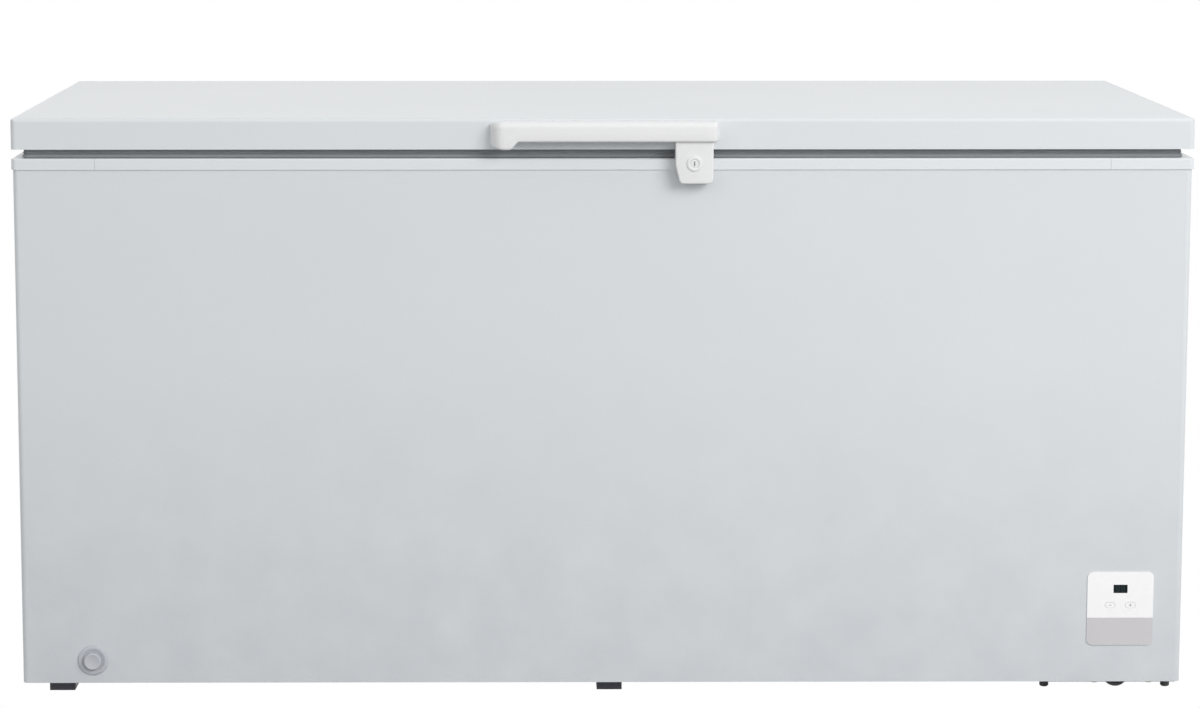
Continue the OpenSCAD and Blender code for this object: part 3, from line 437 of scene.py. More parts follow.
class Finishes:
    """Every finish on the freezer."""

    # The low film darkens the lower half of the body towards a bluish grey: painted shade.
    enamel = Finish(
        "white_enamel", (0.685, 0.715, 0.735), (0.71, 0.738, 0.757), Pattern.PEEL,
        relief_scale=520.0, relief_depth=0.16, relief_reach=0.0005, tone_scale=1.6, tone_amount=0.8,
        roughness=0.33, gloss_spread=0.10, gloss_scale=4.0, coat=0.25, coat_roughness=0.2,
        film=(0.33, 0.35, 0.38), dust_and_shade_level=0.5, dust_and_shade_amount=0.42,
    )
    # A copy of the body's enamel made about three percent lighter and without the low film: painted light on
    # the lid.
    lid_enamel = Finish(
        "lid_enamel", (0.705, 0.737, 0.757), (0.727, 0.757, 0.775), Pattern.PEEL,
        relief_scale=520.0, relief_depth=0.16, relief_reach=0.0005, tone_scale=1.8, tone_amount=0.7,
        roughness=0.34, gloss_spread=0.10, gloss_scale=4.0, coat=0.2, coat_roughness=0.22, dust_and_shade_amount=0.0,
    )
    rim_plastic = Finish(
        "rim_plastic", (0.68, 0.71, 0.73), (0.70, 0.73, 0.747), Pattern.MOULDED,
        relief_scale=900.0, relief_depth=0.10, tone_scale=5.0, roughness=0.42, dust_and_shade_amount=0.0,
    )
    white_plastic = Finish(
        "white_plastic", (0.78, 0.78, 0.775), (0.73, 0.73, 0.725), Pattern.MOULDED,
        relief_scale=1100.0, relief_depth=0.12, tone_scale=9.0, roughness=0.36, gloss_spread=0.14,
        coat=0.15, coat_roughness=0.25, dust_and_shade_amount=0.0,
    )
    panel_white = Finish(
        "panel_white", (0.97, 0.96, 0.965), (0.94, 0.935, 0.94), Pattern.MOULDED,
        relief_scale=1400.0, relief_depth=0.06, tone_scale=12.0, roughness=0.28, coat=0.3, dust_and_shade_amount=0.0,
    )
    panel_film = Finish(
        "panel_film", (0.60, 0.585, 0.60), (0.645, 0.63, 0.64), Pattern.BRUSHED,
        relief_scale=900.0, relief_depth=0.08, tone_scale=14.0, roughness=0.45, dust_and_shade_amount=0.0,
    )
    seal_rubber = Finish(
        "seal_rubber", (0.29, 0.303, 0.315), (0.345, 0.36, 0.373), Pattern.RUBBER,
        relief_scale=260.0, relief_depth=0.2, tone_scale=3.0, tone_amount=0.6, roughness=0.62,
        dust_and_shade_amount=0.0,
    )
    black_rubber = Finish(
        "black_rubber", (0.018, 0.019, 0.021), (0.035, 0.036, 0.038), Pattern.RUBBER,
        relief_scale=300.0, relief_depth=0.3, tone_scale=30.0, roughness=0.7, dust_and_shade_level=0.03,
        film=(0.2, 0.19, 0.18), dust_and_shade_amount=0.35,
    )
    drain_plastic = Finish(
        "drain_plastic", (0.52, 0.535, 0.575), (0.58, 0.595, 0.63), Pattern.MOULDED,
        relief_scale=1000.0, relief_depth=0.15, tone_scale=25.0, roughness=0.45, dust_and_shade_amount=0.1,
    )
    dark_plastic = Finish(
        "dark_plastic", (0.105, 0.105, 0.118), (0.135, 0.135, 0.148), Pattern.MOULDED,
        relief_scale=700.0, relief_depth=0.25, tone_scale=12.0, roughness=0.55, dust_and_shade_level=0.05,
        film=(0.25, 0.24, 0.22), dust_and_shade_amount=0.3,
    )
    black_paint = Finish(
        "black_paint", (0.020, 0.021, 0.023), (0.032, 0.033, 0.035), Pattern.PEEL,
        relief_scale=480.0, relief_depth=0.25, tone_scale=10.0, roughness=0.38, coat=0.3,
        film=(0.22, 0.21, 0.2), dust_and_shade_level=0.2, dust_and_shade_amount=0.22,
    )
    zinc_sheet = Finish(
        "zinc_sheet", (0.52, 0.54, 0.56), (0.60, 0.62, 0.64), Pattern.SPANGLE,
        relief_scale=60.0, relief_depth=0.05, tone_scale=2.0, pattern_tone=0.16, roughness=0.42,
        metallic=0.85, dust_and_shade_amount=0.2,
    )
    zinc_part = Finish(
        "zinc_part", (0.60, 0.61, 0.60), (0.66, 0.66, 0.62), Pattern.BRUSHED,
        relief_scale=1200.0, relief_depth=0.15, tone_scale=30.0, roughness=0.32, metallic=0.95,
        dust_and_shade_amount=0.1,
    )
    spring_steel = Finish(
        "spring_steel", (0.30, 0.30, 0.31), (0.22, 0.22, 0.23), Pattern.BRUSHED,
        relief_scale=1500.0, relief_depth=0.1, tone_scale=60.0, roughness=0.35, metallic=0.9, dust_and_shade_amount=0.0,
    )
    satin_chrome = Finish(
        "satin_chrome", (0.74, 0.745, 0.75), (0.66, 0.67, 0.68), Pattern.BRUSHED,
        relief_scale=2200.0, relief_depth=0.12, tone_scale=90.0, roughness=0.24, metallic=0.75,
        dust_and_shade_amount=0.0,
    )
    liner_sheet = Finish(
        "liner_sheet", (0.70, 0.715, 0.72), (0.76, 0.77, 0.775), Pattern.STUCCO,
        relief_scale=190.0, relief_depth=0.55, relief_reach=0.0009, tone_scale=2.0, roughness=0.34,
        metallic=0.35, dust_and_shade_amount=0.0,
    )
    lid_panel = Finish(
        "lid_panel", (0.80, 0.805, 0.80), (0.76, 0.765, 0.76), Pattern.MOULDED,
        relief_scale=700.0, relief_depth=0.16, tone_scale=4.0, roughness=0.4, dust_and_shade_amount=0.0,
    )
    foam = Finish(
        "rigid_foam", (0.72, 0.60, 0.32), (0.62, 0.49, 0.24), Pattern.CELLS,
        relief_scale=420.0, relief_depth=0.7, tone_scale=8.0, pattern_tone=0.2, roughness=0.85,
        dust_and_shade_amount=0.0,
    )
    copper = Finish(
        "copper_tube", (0.62, 0.28, 0.16), (0.42, 0.18, 0.11), Pattern.BRUSHED,
        relief_scale=900.0, relief_depth=0.1, tone_scale=40.0, roughness=0.3, metallic=0.95, dust_and_shade_amount=0.0,
    )
    circuit_board = Finish(
        "circuit_board", (0.015, 0.11, 0.045), (0.02, 0.15, 0.06), Pattern.MOULDED,
        relief_scale=800.0, relief_depth=0.2, tone_scale=60.0, roughness=0.3, coat=0.4, dust_and_shade_amount=0.0,
    )
    coated_wire = Finish(
        "coated_wire", (0.80, 0.80, 0.79), (0.74, 0.74, 0.73), Pattern.PEEL,
        relief_scale=600.0, relief_depth=0.2, tone_scale=15.0, roughness=0.4, coat=0.2, dust_and_shade_amount=0.0,
    )
    display_glass = Finish(
        "display_glass", (0.004, 0.009, 0.011), (0.008, 0.015, 0.017), Pattern.MOULDED,
        relief_scale=900.0, relief_depth=0.02, tone_scale=60.0, roughness=0.30,
        dust_and_shade_amount=0.0, specular=0.12,
    )
    segment_grey = Finish(
        "segment_grey", (0.030, 0.045, 0.050), (0.038, 0.055, 0.060), Pattern.MOULDED,
        relief_scale=900.0, relief_depth=0.02, tone_scale=60.0, roughness=0.4, dust_and_shade_amount=0.0, specular=0.12,
    )
    ink = Finish(
        "legend_ink", (0.14, 0.145, 0.16), (0.20, 0.205, 0.22), Pattern.MOULDED,
        relief_scale=1500.0, relief_depth=0.05, tone_scale=200.0, roughness=0.6, dust_and_shade_amount=0.0,
    )
    faint_ink = Finish(
        "faint_ink", (0.62, 0.62, 0.64), (0.68, 0.68, 0.70), Pattern.MOULDED,
        relief_scale=1500.0, relief_depth=0.05, tone_scale=200.0, roughness=0.6, dust_and_shade_amount=0.0,
    )


def finish_object(
    name: str, mesh: bmesh.types.BMesh, finish: Finish, smooth_deg: float = 35.0, recalc: bool = True
) -> bpy.types.Object:
    """Turns a bmesh into a dressed object at the origin.

    Args:
        name: The piece's name.
        mesh: The shape, in the row frame.
        finish: Its finish.
        smooth_deg: Edges that turn more than this stay sharp.
        recalc: Whether its normals are recalculated to point outwards.

    Returns:
        The new object.
    """
    bmesh.ops.remove_doubles(mesh, verts=mesh.verts, dist=1e-6)
    if recalc:
        bmesh.ops.recalc_face_normals(mesh, faces=mesh.faces)
    limit = math.radians(smooth_deg)
    for edge in mesh.edges:
        edge.smooth = len(edge.link_faces) == 2 and edge.calc_face_angle(0.0) < limit
    for face in mesh.faces:
        face.smooth = True
    data = bpy.data.meshes.new(name)
    mesh.to_mesh(data)
    mesh.free()
    piece = bpy.data.objects.new(name, data)
    bpy.context.scene.collection.objects.link(piece)
    data.materials.append(finish.build())
    return piece


def settle_modifiers(piece: bpy.types.Object) -> bpy.types.Object:
    """Replaces the piece's mesh by its evaluated one and removes its modifiers.

    Args:
        piece: The object with live modifiers.

    Returns:
        The same object with a plain mesh.
    """
    graph = bpy.context.evaluated_depsgraph_get()
    plain = bpy.data.meshes.new_from_object(piece.evaluated_get(graph))
    piece.modifiers.clear()
    piece.data = plain
    return piece


def bridge_rings(mesh: bmesh.types.BMesh, rings: Sequence[Sequence[Vector]], looped: bool = False) -> None:
    """Skins a row of closed rings of equal length.

    Args:
        mesh: Where the faces go.
        rings: The rings in order.
        looped: Whether the last ring meets the first, instead of both ends being capped.
    """
    made = [[mesh.verts.new(point) for point in ring] for ring in rings]
    count = len(made[0])
    for low, high in zip(made, made[1:] + made[:1] if looped else made[1:]):
        for index in range(count):
            following = (index + 1) % count
            mesh.faces.new((low[index], low[following], high[following], high[index]))
    if not looped:
        mesh.faces.new(list(reversed(made[0])))
        mesh.faces.new(made[-1])


def smooth_step(value: float) -> float:
    """Returns 0 below 0, 1 above 1 and a smooth rise between."""
    held = min(1.0, max(0.0, value))
    return held * held * (3 - 2 * held)


def spread(start: float, end: float, count: int) -> list[float]:
    """Returns evenly spaced values, both ends included."""
    return [start + (end - start) * index / (count - 1) for index in range(count)]


def arc_points(centre: Point2, radius: float, start_deg: float, end_deg: float, steps: int) -> list[Point2]:
    """Points along an arc.

    Args:
        centre: The arc's centre.
        radius: Its radius.
        start_deg: Where it starts, in degrees.
        end_deg: Where it ends, in degrees.
        steps: How many spans it has.

    Returns:
        The points, both ends included.
    """
    found = []
    for step in range(steps + 1):
        angle = math.radians(start_deg + (end_deg - start_deg) * step / steps)
        found.append((centre[0] + radius * math.cos(angle), centre[1] + radius * math.sin(angle)))
    return found


def rounded_rectangle(low: Point2, high: Point2, radius: float, steps: int = 6) -> list[Point2]:
    """Outline of a rectangle with round corners, anticlockwise.

    Args:
        low: Lowest corner.
        high: Highest corner.
        radius: Corner radius.
        steps: Spans in each corner.

    Returns:
        The outline's points.
    """
    reach = max(min(radius, (high[0] - low[0]) / 2, (high[1] - low[1]) / 2), 1e-5)
    return [
        *arc_points((high[0] - reach, high[1] - reach), reach, 0, 90, steps),
        *arc_points((low[0] + reach, high[1] - reach), reach, 90, 180, steps),
        *arc_points((low[0] + reach, low[1] + reach), reach, 180, 270, steps),
        *arc_points((high[0] - reach, low[1] + reach), reach, 270, 360, steps),
    ]


def lathe(
    profile: Sequence[Point2],
    place: Callable[[float, float, float], Vector],
    steps: int,
    looped: bool = False,
) -> bmesh.types.BMesh:
    """Turns a profile round an axis.

    Args:
        profile: Pairs of radius and distance along the axis, from one pole to the other.
        place: Turns two offsets across the axis and one along it into a point.
        steps: Spans round the axis.
        looped: Whether the profile is a closed outline beside the axis.

    Returns:
        The closed shape.
    """
    mesh = bmesh.new()
    angles = [2 * math.pi * step / steps for step in range(steps)]
    rings = []
    for radius, along in profile:
        reach = max(radius, 2e-6)
        rings.append([place(reach * math.cos(angle), reach * math.sin(angle), along) for angle in angles])
    bridge_rings(mesh, rings, looped)
    return mesh


def block(mesh: bmesh.types.BMesh, low: Vector, high: Vector) -> None:
    """Adds a plain block between two corners."""
    made = bmesh.ops.create_cube(mesh, size=1.0)["verts"]
    size = high - low
    bmesh.ops.scale(mesh, vec=size, verts=made)
    bmesh.ops.translate(mesh, vec=(low + high) / 2, verts=made)


@dataclass
class Surround:
    """Camera, floor, lamps and world."""

    camera_point: Vector = field(default_factory=lambda: Vector((-0.111, -4.868, 1.222)))
    pitch_deg: float = 7.42
    yaw_deg: float = 0.34
    lens_mm: float = 97.64
    shift: Point2 = (0.0475, -0.08)
    floor_reach: float = 12.0

    def build(self) -> None:
        """Sets up everything round the freezer."""
        self.add_camera()
        self.add_floor()
        self.add_lamps()
        self.set_world()
        bpy.context.scene.view_settings.view_transform = "Standard"

    def add_camera(self) -> None:
        """Adds the camera, level across and tipped a little down."""
        data = bpy.data.cameras.new("camera")
        data.sensor_width = 36.0
        data.sensor_fit = "HORIZONTAL"
        data.lens = self.lens_mm
        data.shift_x, data.shift_y = self.shift
        data.clip_end = 60.0
        camera = bpy.data.objects.new("camera", data)
        bpy.context.scene.collection.objects.link(camera)
        camera.location = self.camera_point
        camera.rotation_euler = (math.radians(90 - self.pitch_deg), 0.0, math.radians(-self.yaw_deg))
        bpy.context.scene.camera = camera

    def add_floor(self) -> None:
        """Adds a pale floor that shows white to the camera and keeps a soft shadow."""
        mesh = bmesh.new()
        bmesh.ops.create_grid(mesh, x_segments=4, y_segments=4, size=self.floor_reach)
        bmesh.ops.translate(mesh, vec=(0.0, 0.0, -0.0005), verts=mesh.verts)
        data = bpy.data.meshes.new("floor")
        mesh.to_mesh(data)
        mesh.free()
        floor = bpy.data.objects.new("floor", data)
        bpy.context.scene.collection.objects.link(floor)
        material = bpy.data.materials.new("pale_floor")
        material.use_nodes = True
        sheet = ShaderSheet(material.node_tree)
        out = sheet.add("ShaderNodeOutputMaterial")
        matt = sheet.add("ShaderNodeBsdfDiffuse")
        socket_value(matt, "Color", (0.42, 0.42, 0.42, 1.0))
        glow = sheet.add("ShaderNodeEmission")
        socket_value(glow, "Color", (1.0, 1.0, 1.0, 1.0))
        rays = sheet.add("ShaderNodeLightPath")
        blend = sheet.add("ShaderNodeMixShader")
        sheet.join(self.seen_rays(sheet, rays), blend.inputs[0])
        sheet.join(matt.outputs[0], blend.inputs[1])
        sheet.join(glow.outputs[0], blend.inputs[2])
        sheet.join(blend.outputs[0], out.inputs["Surface"])
        data.materials.append(material)

    @staticmethod
    def seen_rays(sheet: ShaderSheet, rays: bpy.types.Node) -> bpy.types.NodeSocket:
        """Adds up the rays that should see plain white.

        Args:
            sheet: The tree's sheet.
            rays: Its Light Path node.

        Returns:
            A socket that is 1 for camera, glossy and transmission rays.
        """
        pair = sheet.add("ShaderNodeMath", operation="ADD", use_clamp=True)
        total = sheet.add("ShaderNodeMath", operation="ADD", use_clamp=True)
        sheet.join(rays.outputs["Is Camera Ray"], pair.inputs[0])
        sheet.join(rays.outputs["Is Glossy Ray"], pair.inputs[1])
        sheet.join(pair.outputs[0], total.inputs[0])
        sheet.join(rays.outputs["Is Transmission Ray"], total.inputs[1])
        return total.outputs[0]

    @staticmethod
    def add_lamp(name: str, at: Vector, aim: Vector, size: Point2, watts: float) -> None:
        """Adds one soft rectangular lamp.

        Args:
            name: The lamp's name.
            at: Where it is.
            aim: What it faces.
            size: Its width and height.
            watts: Its power.
        """
        data = bpy.data.lights.new(name, "AREA")
        data.shape = "RECTANGLE"
        data.size, data.size_y = size
        data.energy = watts
        data.specular_factor = 0.35
        lamp = bpy.data.objects.new(name, data)
        bpy.context.scene.collection.objects.link(lamp)
        lamp.location = at
        lamp.rotation_euler = (aim - at).to_track_quat("-Z", "Y").to_euler()
        lamp.visible_glossy = False

    def add_lamps(self) -> None:
        """Adds a broad key from the upper right, a weak fill and one lamp behind."""
        middle = Vector((0.0, 0.0, 0.45))
        self.add_lamp("key", Vector((2.9, -4.0, 2.9)), middle, (3.0, 2.4), 158.0)
        self.add_lamp("fill", Vector((-3.0, -4.0, 3.0)), middle, (2.5, 2.0), 24.0)
        self.add_lamp("rear", Vector((-2.0, 4.6, 1.4)), middle, (3.6, 2.4), 60.0)

    def set_world(self) -> None:
        """Gives even light from all round and plain white to the camera."""
        world = bpy.data.worlds.new("studio")
        bpy.context.scene.world = world
        world.use_nodes = True
        sheet = ShaderSheet(world.node_tree)
        out = sheet.add("ShaderNodeOutputWorld")
        lit = sheet.add("ShaderNodeBackground")
        socket_value(lit, "Color", (0.985, 0.99, 1.0, 1.0))
        socket_value(lit, "Strength", 0.60)
        seen = sheet.add("ShaderNodeBackground")
        socket_value(seen, "Color", (1.0, 1.0, 1.0, 1.0))
        socket_value(seen, "Strength", 1.0)
        rays = sheet.add("ShaderNodeLightPath")
        blend = sheet.add("ShaderNodeMixShader")
        sheet.join(self.seen_rays(sheet, rays), blend.inputs[0])
        sheet.join(lit.outputs[0], blend.inputs[1])
        sheet.join(seen.outputs[0], blend.inputs[2])
        sheet.join(blend.outputs[0], out.inputs["Surface"])


class Repeaters:
    """Geometry Nodes trees that copy a piece in a row or round a ring."""

    @staticmethod
    def start(
        name: str, sockets: Sequence[GroupSocket]
    ) -> tuple[ShaderSheet, bpy.types.Node, bpy.types.Node]:
        """Makes a geometry tree with a geometry input and output and named sizes.

        Args:
            name: The tree's name.
            sockets: Its other inputs in order.

        Returns:
            The sheet, the tree's input node and its output node.
        """
        tree = bpy.data.node_groups.new(name, "GeometryNodeTree")
        tree.interface.new_socket(name="Geometry", in_out="INPUT", socket_type="NodeSocketGeometry")
        for item in sockets:
            made = tree.interface.new_socket(name=item.name, in_out="INPUT", socket_type=item.kind)
            if item.default is not None:
                made.default_value = item.default
        tree.interface.new_socket(name="Geometry", in_out="OUTPUT", socket_type="NodeSocketGeometry")
        sheet = ShaderSheet(tree)
        return sheet, sheet.add("NodeGroupInput"), sheet.add("NodeGroupOutput")

    @staticmethod
    def close(
        sheet: ShaderSheet, given: bpy.types.Node, out: bpy.types.Node, copies: bpy.types.NodeSocket
    ) -> bpy.types.NodeTree:
        """Ends a tree in Realize Instances and Set Material.

        Args:
            sheet: The tree's sheet.
            given: Its input node.
            out: Its output node.
            copies: The instances.

        Returns:
            The tree.
        """
        real = sheet.add("GeometryNodeRealizeInstances")
        dress = sheet.add("GeometryNodeSetMaterial")
        sheet.join(copies, real.inputs["Geometry"])
        sheet.join(real.outputs["Geometry"], dress.inputs["Geometry"])
        sheet.join(given.outputs["Material"], dress.inputs["Material"])
        sheet.join(dress.outputs["Geometry"], out.inputs["Geometry"])
        return sheet.tree

    @classmethod
    @cache
    def row(cls) -> bpy.types.NodeTree:
        """Copies the input piece along a straight row."""
        sheet, given, out = cls.start(
            "row_of_copies",
            [
                GroupSocket("Count", "NodeSocketInt", default=4),
                GroupSocket("Step", "NodeSocketVector"),
                GroupSocket("Material", "NodeSocketMaterial"),
            ],
        )
        line = sheet.add("GeometryNodeMeshLine")
        copies = sheet.add("GeometryNodeInstanceOnPoints")
        sheet.join(given.outputs["Count"], line.inputs["Count"])
        sheet.join(given.outputs["Step"], line.inputs["Offset"])
        sheet.join(line.outputs["Mesh"], copies.inputs["Points"])
        sheet.join(given.outputs["Geometry"], copies.inputs["Instance"])
        return cls.close(sheet, given, out, copies.outputs["Instances"])

    @classmethod
    @cache
    def ring(cls) -> bpy.types.NodeTree:
        """Copies the input piece round the Y axis through a centre."""
        sheet, given, out = cls.start(
            "ring_of_copies",
            [
                GroupSocket("Count", "NodeSocketInt", default=12),
                GroupSocket("Centre", "NodeSocketVector"),
                GroupSocket("Material", "NodeSocketMaterial"),
            ],
        )
        line = sheet.add("GeometryNodeMeshLine")
        socket_value(line, "Offset", (0.0, 0.0, 0.0))
        order = sheet.add("GeometryNodeInputIndex")
        share = sheet.add("ShaderNodeMath", operation="DIVIDE")
        turn = sheet.add("ShaderNodeMath", operation="MULTIPLY")
        turn.inputs[1].default_value = 2 * math.pi
        angles = sheet.add("ShaderNodeCombineXYZ")
        copies = sheet.add("GeometryNodeInstanceOnPoints")
        shift = sheet.add("GeometryNodeTransform")
        sheet.join(given.outputs["Count"], line.inputs["Count"])
        sheet.join(order.outputs[0], share.inputs[0])
        sheet.join(given.outputs["Count"], share.inputs[1])
        sheet.join(share.outputs[0], turn.inputs[0])
        sheet.join(turn.outputs[0], angles.inputs["Y"])
        sheet.join(line.outputs["Mesh"], copies.inputs["Points"])
        sheet.join(given.outputs["Geometry"], copies.inputs["Instance"])
        sheet.join(angles.outputs[0], copies.inputs["Rotation"])
        sheet.join(copies.outputs["Instances"], shift.inputs["Geometry"])
        sheet.join(given.outputs["Centre"], shift.inputs["Translation"])
        return cls.close(sheet, given, out, shift.outputs["Geometry"])

    @staticmethod
    def apply(
        piece: bpy.types.Object, tree: bpy.types.NodeTree, finish: Finish, **values: object
    ) -> bpy.types.Object:
        """Runs a tree on a piece and keeps the result as a plain mesh.

        Args:
            piece: The object that holds the tree's input.
            tree: The tree.
            finish: The finish of the result.
            values: The tree's inputs by name, with spaces written as underscores.

        Returns:
            The same object with its new mesh.
        """
        modifier = piece.modifiers.new(tree.name, "NODES")
        modifier.node_group = tree
        wanted = {name.replace("_", " "): value for name, value in values.items()}
        wanted["Material"] = finish.build()
        for item in tree.interface.items_tree:
            if item.in_out == "INPUT" and item.name in wanted:
                modifier[item.identifier] = wanted[item.name]
        settle_modifiers(piece)
        for polygon in piece.data.polygons:
            polygon.use_smooth = False
        return piece


class Assembly:
    """What every sub-assembly shares: its frame, its rides and its dressing."""

    def __init__(self, frame: dict) -> None:
        """Keeps the frame.
        """
        self.nodes = frame["nodes"]

    def dress(self, finish: Finish, *names: str) -> None:
        """Gives CAD nodes a finish.

        Args:
            finish: The finish.
            names: The nodes' names.
        """
        for name in names:
            piece = self.nodes[name]
            piece.data.materials.clear()
            piece.data.materials.append(finish.build())
            LOG.info("dressed %s with %s", name, finish.name)

    @staticmethod
    def place(piece: bpy.types.Object, body: str, slot: str, *replaced: str) -> bpy.types.Object:
        """Sets a finished piece on its body.

        Args:
            piece: The piece.
            body: The body that it moves with.
            slot: The record's material slot; it is not used.
            replaced: CAD nodes that it stands for.

        Returns:
            The piece.
        """
        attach(piece, body)
        if replaced:
            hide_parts(*replaced)
        LOG.info("placed %s on %s", piece.name, body)
        return piece


class Cabinet(Assembly):
    """Body shell, rim, tub and insulation."""

    def build(self) -> None:
        """Dresses the cabinet's own nodes."""
        self.dress(Finishes.enamel, "cabinet_wrap")
        self.dress(Finishes.zinc_sheet, "bottom_panel", "bay_panel")
        self.dress(Finishes.enamel, "back_panel")
        self.dress(Finishes.foam, "foam_insulation")
        self.dress(Finishes.liner_sheet, "inner_liner")
        rims = [name for name in self.nodes if name.startswith("rim_")]
        self.dress(Finishes.rim_plastic, *rims)
        self.dress(Finishes.copper, "evaporator_coil")
        self.dress(Finishes.black_paint, "condenser_coil")
        self.dress(Finishes.white_plastic, "drain_tube")
        self.dress(Finishes.coated_wire, "wire_basket")


@dataclass
class LidSeal:
    """Sizes of the seal's cross-section."""

    width: float = 20 * MM
    lip: float = 1.2 * MM
    corner: float = 9 * MM
    waist_share: float = 0.42
    bulb_share: float = 0.36

    def profile(self, height: float) -> list[Point2]:
        """Outline of the seal, across and up from its outer lower corner.

        Args:
            height: From its foot to its base.

        Returns:
            The outline, anticlockwise.
        """
        width = self.width
        waist = height * self.waist_share
        bulb = height * self.bulb_share
        points = rounded_rectangle((0.0, 0.0), (width, bulb), self.lip, 4)
        upper_right = points[:5]
        upper_left = points[5:10]
        lower = points[10:]
        fold = self.lip
        right = [
            (width - fold * 1.5, bulb + fold),
            (width - fold * 0.4, bulb + (waist - bulb) / 2 + fold * 1.5),
            (width - fold * 1.5, height - fold * 2.2),
            (width, height - fold * 1.4),
            (width, height),
        ]
        left = [
            (0.0, height),
            (0.0, height - fold * 1.4),
            (fold * 1.5, height - fold * 2.2),
            (fold * 0.4, bulb + (waist - bulb) / 2 + fold * 1.5),
            (fold * 1.5, bulb + fold),
        ]
        return [*upper_right, *right, *left, *upper_left, *lower]


class Lid(Assembly):
    """Lid shell, its inner panel, seal and insulation."""

    seal = LidSeal()
    plan_steps = 8
    plug_in = 100 * MM
    recess = 1.7 * MM
    rib_count = 9
    rib_half = 9 * MM
    rib_inset = 190 * MM

    def build(self) -> None:
        """Builds the seal and the inner panel and dresses the rest."""
        # The lid's enamel is a lighter copy of the body's: painted light.
        self.dress(Finishes.lid_enamel, "lid_skin")
        self.dress(Finishes.foam, "lid_foam")
        self.build_seal()
        self.build_panel()

    def plan(self, inset: float, radius: float) -> list[Point2]:
        """Round-cornered outline of the lid, set in from its edge.

        Args:
            inset: How far in.
            radius: Corner radius.

        Returns:
            The outline.
        """
        low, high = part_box("lid_skin")
        return rounded_rectangle(
            (low.x + inset, low.y + inset), (high.x - inset, high.y - inset), radius, self.plan_steps
        )

    def build_seal(self) -> None:
        """Sweeps the seal's cross-section round the lid."""
        low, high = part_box("gasket")
        edge_low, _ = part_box("lid_skin")
        inset = low.x - edge_low.x
        mesh = bmesh.new()
        rings = [
            [Vector((x, y, low.z + up)) for x, y in self.plan(inset + across, self.seal.corner)]
            for across, up in self.seal.profile(high.z - low.z)
        ]
        bridge_rings(mesh, rings, looped=True)
        piece = finish_object("lid_seal", mesh, Finishes.seal_rubber, 40.0)
        self.place(piece, "lid", "gasket", "gasket")

    def build_panel(self) -> None:
        """Builds the pressed inner panel as nested outlines from its flange to its recessed middle."""
        low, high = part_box("lid_liner")
        edge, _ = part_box("lid_skin")
        plug_in = self.plug_in
        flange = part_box("gasket")[1].z
        skin = low.x - edge.x
        steps = [
            (skin, flange + 2 * MM, 8),
            (skin, flange, 8),
            (plug_in - 26 * MM, flange, 34),
            (plug_in - 20 * MM, flange + 0.8 * MM, 32),
            (plug_in - 6 * MM, flange + 0.8 * MM, 30),
            (plug_in - 2 * MM, flange - 0.6 * MM, 30),
            (plug_in, flange - 4 * MM, 30),
            (plug_in, low.z + 1.8 * MM, 30),
            (plug_in + 0.5 * MM, low.z + 0.7 * MM, 30),
            (plug_in + 1.8 * MM, low.z, 29),
            (plug_in + 34 * MM, low.z, 18),
            (plug_in + 36 * MM, low.z + 0.3 * MM, 17),
            (plug_in + 40 * MM, low.z + 1.3 * MM, 15),
            (plug_in + 43 * MM, low.z + self.recess, 14),
        ]
        mesh = bmesh.new()
        rings = [[Vector((x, y, z)) for x, y in self.plan(inset, radius * MM)] for inset, z, radius in steps]
        bridge_rings(mesh, rings)
        piece = finish_object("lid_inner_panel", mesh, Finishes.lid_panel, 50.0)
        self.place(piece, "lid", "white_plastic", "lid_liner")
        self.build_ribs(low.z)

    def build_ribs(self, level: float) -> None:
        """Presses a row of stiffening ribs into the inner panel.

        Args:
            level: Height of the panel's lowest face.
        """
        low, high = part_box("lid_skin")
        inset = self.rib_inset
        span = (high.x - low.x - 2 * inset) / (self.rib_count - 1)
        half = self.rib_half
        start = low.x + inset
        mesh = bmesh.new()
        rings = []
        flanks = ((0.0, self.recess + 0.1 * MM), (1 * MM, 0.8 * MM), (3 * MM, 0.2 * MM), (6 * MM, 0.0))
        for shrink, rise in flanks:
            outline = rounded_rectangle(
                (start - half + shrink, low.y + inset + shrink),
                (start + half - shrink, high.y - inset - shrink),
                half,
                6,
            )
            rings.append([Vector((x, y, level + rise)) for x, y in outline])
        bridge_rings(mesh, rings)
        piece = finish_object("lid_panel_ribs", mesh, Finishes.lid_panel, 50.0)
        step = (span, 0.0, 0.0)
        Repeaters.apply(piece, Repeaters.row(), Finishes.lid_panel, Count=self.rib_count, Step=step)
        for polygon in piece.data.polygons:
            polygon.use_smooth = True
        self.place(piece, "lid", "white_plastic")


@dataclass
class HandleShape:
    """Sizes of the lid handle."""

    wall: float = 4 * MM
    top_round: float = 9 * MM
    lip_round: float = 3.5 * MM
    foot: float = 38 * MM
    foot_drop: float = 11 * MM
    left_round: float = 20 * MM
    right_round: float = 9 * MM
    arc_steps: int = 8


